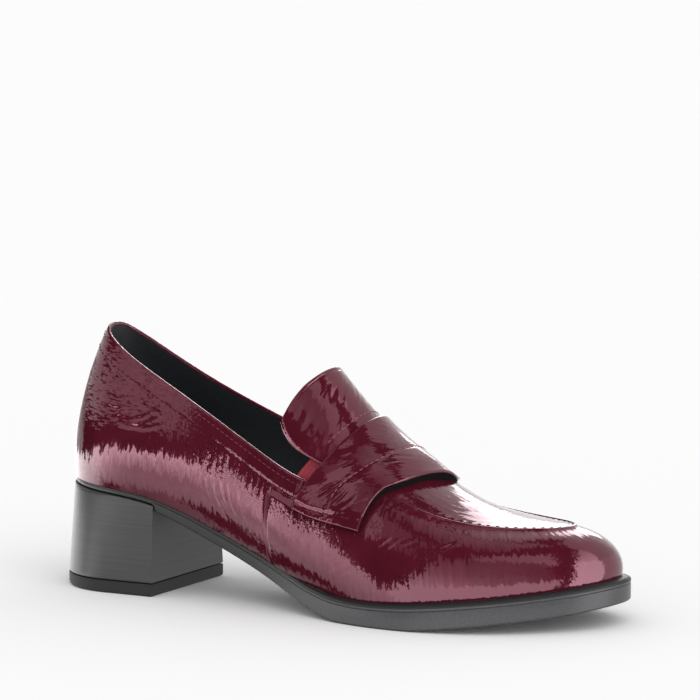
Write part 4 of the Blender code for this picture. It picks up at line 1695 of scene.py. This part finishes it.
    def drawn_in(self, rings: Array, down: Array, height: float) -> Array:
        """Round a stack's two rims by drawing its rings towards the heel's middle there.

        Args:
            rings: The stack's outlines.
            down: How far down each one is.
            height: The stack's height.

        Returns:
            The outlines with rounded rims.
        """
        centre = np.array([self.heel_widest_x, 0.0, 0.0])
        inward = unit((centre - rings) * (1.0, 1.0, 0.0))
        drop = edge_drop(np.minimum(down, height - down), self.edge_radius)
        return rings + inward * drop[:, None, None]

    def top_piece_skin(self) -> Skin:
        """Make the top piece: the heel's outline on the ground, a little narrower at its foot.

        Returns:
            The top piece.
        """
        outline = self.heel_tread(self.heel_shares())
        centre = np.array([self.heel_widest_x, 0.0, 0.0])
        share = graded(self.top_piece, self.top_piece_step, self.edge_radius)
        taper = self.top_piece_taper * smooth_step(share, self.top_piece_foot, 1.0)[:, None, None]
        rings = outline - taper * (outline - centre) + UP * (self.top_piece * (1 - share))[:, None, None]
        return Skin.carried(self.drawn_in(rings, share * self.top_piece, self.top_piece))

    def dress(self, maker: Maker) -> None:
        """Add the pieces under the foot.

        Args:
            maker: What adds the pieces.
        """
        maker.add("sock_lining", self.insole(), LINING, Slot.LINING, ["insole"])
        maker.add("sole_moulding", self.outsole(), SOLE_RUBBER, Slot.SOLE, ["outsole"], 35.0)
        maker.add("sole_welt", self.welt(), WELT_INK, Slot.SOLE, ["outsole"], 60.0)
        maker.add("heel_stack", self.heel_block(), HEEL_STACK, Slot.STACK, ["heel_block"], 35.0)
        maker.add("heel_lift", self.top_piece_skin(), TOP_RUBBER, Slot.RUBBER, ["heel_top_piece"], 35.0)


@dataclass
class Stitching:
    """Rows of thread along the topline, collar line, apron seam, tongue and strap."""

    upper: Upper
    strap: SaddleStrap
    tongue: Tongue
    length: float = 1.75
    width: float = 0.5
    height: float = 0.34
    pitch: float = 2.6
    apron_pitch: float = 3.6
    bluntness: float = 0.7
    sides: int = 6
    topline_drop: float = 2.4
    under_strap: float = 2.0
    collar_counts: tuple[int, int] = (900, 60)
    apron_inset: float = 2.0
    apron_start: float = 6.0
    apron_end: float = 0.9999
    apron_sink: float = 0.15
    apron_counts: tuple[int, int] = (500, 200)
    tongue_reach: float = 0.86
    tongue_rise: float = 0.1
    tongue_count: int = 160
    strap_clear: float = 9.0
    strap_sink: float = 0.08
    strap_lines: int = 41

    def row(self, path: Array, normal: Array, pitch: float) -> Skin:
        """Make one row: stretched, flattened ovals at even distances along a path.

        Each stitch is an oval of six-sided rings: along it a cosine of the angle, across and
        off the surface a power of its sine, scaled to the stitch's length, width and height.

        Args:
            path: Points on the surface along the row.
            normal: The surface's normals there.
            pitch: The distance between stitches.

        Returns:
            All stitches of the row.
        """
        mile, near = lengths_along(path, 0), 0.3
        place = np.arange(0.5 * pitch, mile[-1], pitch)
        at, off = on_path(place, mile, path), unit(on_path(place, mile, normal))
        run = unit(on_path(place + near, mile, path) - on_path(place - near, mile, path))
        beside_run = np.cross(off, run)
        at, run, beside_run, off = (vectors[:, None, None, :] for vectors in (at, run, beside_run, off))
        turn = np.linspace(0, np.pi, self.sides + 1)[None, :, None, None]
        angle = np.linspace(0, 2 * np.pi, self.sides + 1)[:-1][None, None, :, None]
        point = at + run * (0.5 * self.length * np.cos(turn))
        across = beside_run * (0.5 * self.width * np.cos(angle)) + off * (self.height * np.sin(angle))
        point = point + np.sin(turn) ** self.bluntness * across
        count, size = len(point), point.shape[1] * point.shape[2]
        faces = np.array(Skin.carried(point[0]).faces) + size * np.arange(count)[:, None, None]
        return Skin(point.reshape(-1, 3), faces.reshape(-1, 4).tolist(), np.zeros((count * size, 2)))

    def below_rim(self, drop: float, front: bool, t: Array) -> Path:
        """Give a path on the wall at a distance below the rim.

        Args:
            drop: The distance.
            front: Whether it runs on the vamp.
            t: Stations along the path.

        Returns:
            The path and its normals.
        """
        last, step = self.upper.last, 0.01
        speed = np.linalg.norm(last.wall(t, 1.0) - last.wall(t, 1 - step), axis=-1) / step
        v = 1 - drop / speed
        normal = last.wall_normal(t, v)
        relief = self.upper.wall_relief(t, v, front)
        return last.wall(t, v) + normal * relief[:, None], normal

    def collar_paths(self, drop: float) -> list[Path]:
        """Give a row round the collar at a distance below the rim: quarters, then both flanks.

        Args:
            drop: The distance.

        Returns:
            The three paths.
        """
        last = self.upper.last
        seam = float(self.upper.seam_station(np.array(1.0)))
        end = last.station(last.rim_line["x"], self.strap.rear_x + self.under_strap)
        back = np.linspace(-seam, seam, self.collar_counts[0])
        flank = np.linspace(seam, end, self.collar_counts[1])
        runs = ((False, back), (True, flank), (True, 2 - flank))
        return [self.below_rim(drop, front, t) for front, t in runs]

    def apron_paths(self) -> list[Path]:
        """Give the apron's two rows, at a distance across from its edges.

        Returns:
            The two paths.
        """
        last = self.upper.last
        start = last.station(last.rim_line["x"], self.strap.front_x - self.apron_start)
        s = np.linspace(start, self.apron_end, self.apron_counts[0])
        w = cosine_shares(2 * self.apron_counts[1] - 1)[:self.apron_counts[1]]
        paths = []
        for share in (w, 1 - w):
            line = last.apron(s[:, None], share[None, :])
            at = np.argmax(lengths_along(line, 1) > self.apron_inset, axis=1)
            place = share[np.where(at > 0, at, len(share) - 1)]
            normal = last.apron_normal(s, place)
            paths.append((last.apron(s, place) - self.apron_sink * normal, normal))
        return paths

    def tongue_paths(self) -> list[Path]:
        """Give the row across the tongue, a little above the strap.

        Returns:
            The one path.
        """
        u = np.linspace(-self.tongue_reach, self.tongue_reach, self.tongue_count)
        along = np.full_like(u, self.tongue.under_strap + self.tongue_rise)
        return [(self.tongue.surface(u, along), self.tongue.normal(u, along))]

    def strap_paths(self) -> list[Path]:
        """Give the row along the strap's middle, clear of both ends.

        Returns:
            The one path.
        """
        whole = self.strap.surface(np.linspace(0, 1, self.strap_lines))
        line, normal, rise, across = (value[self.strap_lines // 2] for value in whole)
        seen = (across > self.strap_clear) & (across < across[-1] - self.strap_clear)
        point = line + normal * rise[:, None] - self.strap_sink * normal
        return [(point[seen], normal[seen])]

    def dress(self, maker: Maker) -> None:
        """Add every row, each with its paths, thread, pitch and node.

        Args:
            maker: What adds the pieces.
        """
        collar_drop = self.upper.collar_drop
        rows = (
            ("stitches_topline", self.collar_paths(self.topline_drop), EDGE_THREAD, self.pitch, "upper"),
            ("stitches_collar", self.collar_paths(collar_drop), SEAM_THREAD, self.pitch, "upper"),
            ("stitches_apron", self.apron_paths(), SEAM_THREAD, self.apron_pitch, "upper"),
            ("stitches_tongue", self.tongue_paths(), THREAD, self.pitch, "tongue"),
            ("stitches_strap", self.strap_paths(), THREAD, self.pitch, "saddle_strap"),
        )
        for name, paths, thread, pitch, node in rows:
            parts = [self.row(path, normal, pitch) for path, normal in paths]
            maker.add(name, self.joined(parts), thread, Slot.PATENT, [node])

    @staticmethod
    def joined(parts: Sequence[Skin]) -> Skin:
        """Join several surfaces into one.

        Args:
            parts: The surfaces.

        Returns:
            One surface.
        """
        faces, start = [], 0
        for part in parts:
            faces += (np.array(part.faces) + start).tolist()
            start += len(part.points)
        points = np.concatenate([part.points for part in parts])
        return Skin(points, faces, np.concatenate([part.chart for part in parts]))


SHOE_MIDDLE = (125.0, 0.0, 50.0)
FAR_MM = 6000.0
SIDE_Y = -227.0


def direction(azimuth_deg: float, elevation_deg: float) -> Array:
    """Give a unit vector: azimuth is 0 off the shoe's outer side and 90 off its toe.

    Args:
        azimuth_deg: The azimuth.
        elevation_deg: The elevation above the floor.

    Returns:
        The vector.
    """
    azimuth, elevation = np.radians(azimuth_deg), np.radians(elevation_deg)
    level = np.cos(elevation)
    return np.array([np.sin(azimuth) * level, -np.cos(azimuth) * level, np.sin(elevation)])


def far(*aims: Pair) -> Corners:
    """Give far corners, each in a direction of azimuth and elevation from the shoe's middle."""
    return tuple(tuple((np.array(SHOE_MIDDLE) + FAR_MM * direction(*aim)).tolist()) for aim in aims)


def beside(*places: Pair) -> Corners:
    """Give corners, each as x and z, in the upright plane close to the shoe's outer side."""
    return tuple((x, SIDE_Y, z) for x, z in places)


@dataclass(frozen=True)
class Panel:
    """A white reflector panel: four corners in the shoe's frame, and its glow at each.

    Corners are low left, low right, high right and high left, as seen from the shoe.
    """

    name: str
    corners: Corners
    glow: tuple[float, float, float, float]


PANELS = (
    Panel("panel_side", beside((-480, -78), (-60, 10), (-60, 67), (-480, -10)), (5, 2, 5.2, 6.4)),
    Panel("panel_fringe", beside((-480, -10), (-60, 67), (-60, 84), (-480, 8)), (6.2, 5.6, 7, 6.5)),
    Panel("panel_side_low", beside((-480, -200), (-100, -210), (-100, 2), (-480, -78)), (0.6, 1, 2, 5.4)),
    Panel("panel_side_end", beside((-60, 10), (36, 34), (-4, 118), (-60, 67)), (1.5, 3.4, 3.4, 5.2)),
    Panel("panel_fringe_end", beside((-60, 67), (-40, 82), (-40, 94), (-60, 84)), (5.6, 5.4, 6.8, 7)),
    Panel("panel_fringe_rise", beside((-40, 82), (-4, 118), (0, 152), (-40, 94)), (5.2, 3.6, 10, 6.8)),
    Panel("panel_side_low_end", beside((-100, -260), (200, -260), (36, 34), (-100, 2)),
          (1, 0.8, 3.6, 1.7)),
    Panel("panel_fringe_back", far((-98, -32), (-68, -30), (-68, -4.5), (-98, -10.5)), (2.5, 1, 6.4, 5)),
    Panel("panel_counter", beside((-900, 160), (-58, 160), (-66, 275), (-900, 300)), (1.5, 1, 1.2, 1.5)),
    Panel("panel_rear", ((-200, 280, -120), (-200, -76, -120), (-200, -76, 19), (-200, 280, 28)),
          (0.8, 1.6, 4.5, 2.6)),
    Panel("panel_under", far((-115, -47), (-46, -43), (-46, -34), (-115, -34)), (0.2, 0.3, 0.8, 0.5)),
    Panel("panel_front", far((-32, -24), (66, -24), (64, -5), (-13, -5)), (3.6, 3.2, 2.8, 3.6)),
    Panel("panel_front_mid", far((-13, -5), (64, -5), (58, 16), (-4, 16)), (3.2, 0.1, 0.2, 1.4)),
    Panel("panel_front_high", far((-4, 16), (58, 16), (50, 56), (4, 46)), (1.4, 0.2, 0.5, 0.4)),
    Panel("panel_low", far((-36, -64), (115, -64), (115, -24), (-36, -22)), (1.2, 3, 3.6, 2.6)),
    Panel("panel_toe", far((72, -38), (104, -38), (108, 26), (74, 26)), (6, 5, 4.4, 5.4)),
    Panel("panel_toe_high", far((75, 26), (108, 26), (124, 58), (100, 58)), (4.4, 3.6, 1.6, 1.6)),
    Panel("panel_toe_far", far((104, -38), (172, -38), (172, 12), (108, 26)), (1.6, 0.8, 1, 1.6)),
    Panel("panel_toe_back", far((108, 26), (172, 12), (165, 68), (122, 68)), (1.4, 0.8, 0.9, 1)),
    Panel("panel_apron", far((-170, 8), (-150, 8), (-150, 48), (-172, 48)), (6.5, 6, 7, 5)),
    Panel("panel_apron_side", far((-205, 16), (-170, 8), (-172, 62), (-205, 60)), (1.2, 1.2, 0.9, 0.8)),
    Panel("panel_apron_high", far((-172, 48), (-150, 48), (-150, 76), (-176, 76)), (1.2, 1.4, 0.9, 0.9)),
    Panel("panel_behind", far((-212, -24), (-130, -24), (-130, 8), (-205, 16)), (0.8, 1.2, 1.6, 0.9)),
    Panel("panel_heel_behind", far((-130, -24), (-98, -16), (-94, 4), (-130, 3)), (1.4, 1.6, 0.15, 0.4)),
    Panel("panel_quarter", far((-130, 3), (-74, 6), (-74, 24), (-130, 22)), (1.2, 1.1, 1.1, 1.2)),
    Panel("panel_strap", far((-52, 35), (-25, 36), (-22, 66), (-56, 66)), (1.3, 1.3, 1.2, 1.2)),
    Panel("panel_vamp", far((-25, 36), (-8, 36), (-2, 70), (-22, 68)), (0.4, 0.4, 0.5, 0.5)),
    Panel("panel_tongue", far((14, 34), (62, 30), (70, 62), (20, 62)), (0.5, 1.8, 1.4, 1.2)),
    Panel("panel_above",
          ((-1200, -1200, 6000), (1200, -1200, 6000), (1200, 1200, 6000), (-1200, 1200, 6000)),
          (0.35, 0.35, 0.9, 0.9)),
)


@dataclass
class Studio:
    """Floor, soft light, reflector cards and the camera at the photograph's angle."""

    origin: Array
    azimuth_deg: float = 29.5
    elevation_deg: float = 9.0
    distance: float = 1500.0
    target: Triple = SHOE_MIDDLE
    focal_px: float = 3720.0
    frame_px: float = 700.0
    target_px: Pair = (340.0, 480.4)
    sensor: float = 36.0
    floor_half: float = 40000.0
    floor_colour: str = "#FCFCFC"
    floor_rough: Pair = (0.85, 1.0)
    paper_grain_mm: float = 25.0
    panel_points: int = 17
    view_reach_m: float = 200.0
    room_glow: float = 0.79
    key_glow: float = 1.1
    key_spread_deg: float = 70.0
    key_aim: Triple = (-0.62, 0.5, -0.6)

    def row(self, point: Sequence[float] | Array) -> Array:
        """Turn points of the shoe's frame into the row frame, in metres."""
        return (np.asarray(point, float) - self.origin) * MM

    def grid(self, name: str, corners: Array, values: Array, count: int) -> bpy.types.Object:
        """Make a grid between four corners, with a value at each as an attribute.

        Places and values are blended from the corners in proportion to both directions.

        Args:
            name: The object's name.
            corners: Four points of the shoe's frame, in order round the grid.
            values: A value at each corner.
            count: Points along each side.

        Returns:
            The object.
        """
        a, b = np.meshgrid(np.linspace(0, 1, count), np.linspace(0, 1, count), indexing="ij")
        weight = np.stack([(1 - a) * (1 - b), a * (1 - b), a * b, (1 - a) * b], -1).reshape(-1, 4)
        step = np.arange(count - 1)
        first = (step[:, None] * count + step).ravel()
        faces = np.stack([first, first + count, first + count + 1, first + 1], 1)
        mesh = bpy.data.meshes.new(name)
        mesh.from_pydata(self.row(weight @ corners).tolist(), [], faces.tolist())
        glow = mesh.attributes.new("glow", "FLOAT", "POINT")
        glow.data.foreach_set("value", (weight @ values).astype(np.float32))
        made = bpy.data.objects.new(name, mesh)
        bpy.context.scene.collection.objects.link(made)
        return made

    def floor(self) -> None:
        """Lay the plain pale floor, which the lacquer doesn't mirror."""
        half = self.floor_half
        corners = np.array([(-half, -half, 0), (half, -half, 0), (half, half, 0), (-half, half, 0)], float)
        floor = self.grid("floor", corners, np.ones(4), 2)
        material, tree, shader = blank_material("pale_paper_sweep")
        scale = 1 / (self.paper_grain_mm * MM)
        grain = add_node(tree, "ShaderNodeTexNoise", {"Scale": scale, "Detail": 2.0},
                         {"Vector": add_node(tree, "ShaderNodeTexCoord").outputs["Object"]}).outputs["Fac"]
        low, high = self.floor_rough
        rough = add_node(tree, "ShaderNodeMapRange", {"To Min": low, "To Max": high}, {"Value": grain})
        tree.links.new(rough.outputs["Result"], shader.inputs["Roughness"])
        shader.inputs["Base Color"].default_value = linear(self.floor_colour)
        shader.inputs["Specular IOR Level"].default_value = 0.0
        floor.data.materials.append(material)
        floor.visible_glossy = False

    def panels(self) -> None:
        """Hang the reflector panels, which only the shoe's gloss shows."""
        material = bpy.data.materials.new("reflector_panel")
        material.use_nodes = True
        tree = material.node_tree
        tree.nodes.clear()
        glow = add_node(tree, "ShaderNodeAttribute", attribute_name="glow").outputs["Fac"]
        light = add_node(tree, "ShaderNodeEmission", links={"Strength": glow}).outputs["Emission"]
        add_node(tree, "ShaderNodeOutputMaterial", links={"Surface": light})
        for panel in PANELS:
            corners, glows = np.array(panel.corners, float), np.array(panel.glow)
            made = self.grid(panel.name, corners, glows, self.panel_points)
            made.data.materials.append(material)
            made.visible_camera = made.visible_shadow = made.visible_diffuse = False

    def light(self) -> None:
        """Fill the room with even soft light and add one broad soft key, neither of them mirrored."""
        world = bpy.data.worlds.new("soft_room")
        bpy.context.scene.world = world
        world.use_nodes = True
        background = world.node_tree.nodes["Background"]
        background.inputs["Color"].default_value = (1.0, 1.0, 1.0, 1.0)
        background.inputs["Strength"].default_value = self.room_glow
        world.cycles_visibility.glossy = False
        bpy.context.scene.view_settings.view_transform = "Standard"
        lamp = bpy.data.lights.new("soft_key", "SUN")
        lamp.angle, lamp.energy = np.radians(self.key_spread_deg), self.key_glow
        key = bpy.data.objects.new("soft_key", lamp)
        bpy.context.scene.collection.objects.link(key)
        key.rotation_euler = Vector(self.key_aim).to_track_quat("-Z", "Y").to_euler()
        key.visible_glossy = False

    def camera(self) -> None:
        """Set the camera where the photograph was taken, aimed at the middle of its frame."""
        back = direction(self.azimuth_deg, self.elevation_deg)
        place = np.asarray(self.target) + self.distance * back
        right = unit(np.cross(UP, back))
        up = np.cross(back, right)
        aside = (self.frame_px / 2 - self.target_px[0]) / self.focal_px
        above = (self.target_px[1] - self.frame_px / 2) / self.focal_px
        back = unit(back - right * aside - up * above)
        right = unit(np.cross(UP, back))
        axes = np.stack([right, np.cross(back, right), back, self.row(place)], -1)
        lens = bpy.data.cameras.new("camera")
        lens.sensor_width = self.sensor
        lens.lens = self.focal_px * self.sensor / self.frame_px
        lens.clip_end = self.view_reach_m
        camera = bpy.data.objects.new("camera", lens)
        bpy.context.scene.collection.objects.link(camera)
        camera.matrix_world = Matrix([*axes.tolist(), (0.0, 0.0, 0.0, 1.0)])
        bpy.context.scene.camera = camera

    def build(self) -> None:
        """Set up the whole studio."""
        self.floor()
        self.panels()
        self.light()
        self.camera()


def main() -> None:
    """Build and dress the shoe piece by piece, then the studio."""
    logging.basicConfig(level=logging.INFO, format="%(message)s")
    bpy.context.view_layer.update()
    last = Last()
    bottom = Bottom(last)
    low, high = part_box("heel_top_piece")
    origin = np.array([bottom.heel_back_x - low.x / MM, -(low.y + high.y) / 2 / MM, 0.0])
    maker, patent = Maker(origin), CrinklePatent()
    upper, strap, tongue = Upper(last), SaddleStrap(last), Tongue(last)
    upper.dress(maker, patent)
    strap.dress(maker, patent)
    tongue.dress(maker, patent)
    for side in Side:
        Gore(last, tongue, side).dress(maker)
    bottom.dress(maker)
    Stitching(upper, strap, tongue).dress(maker)
    Studio(origin).build()


if __name__ == "__main__":
    main()
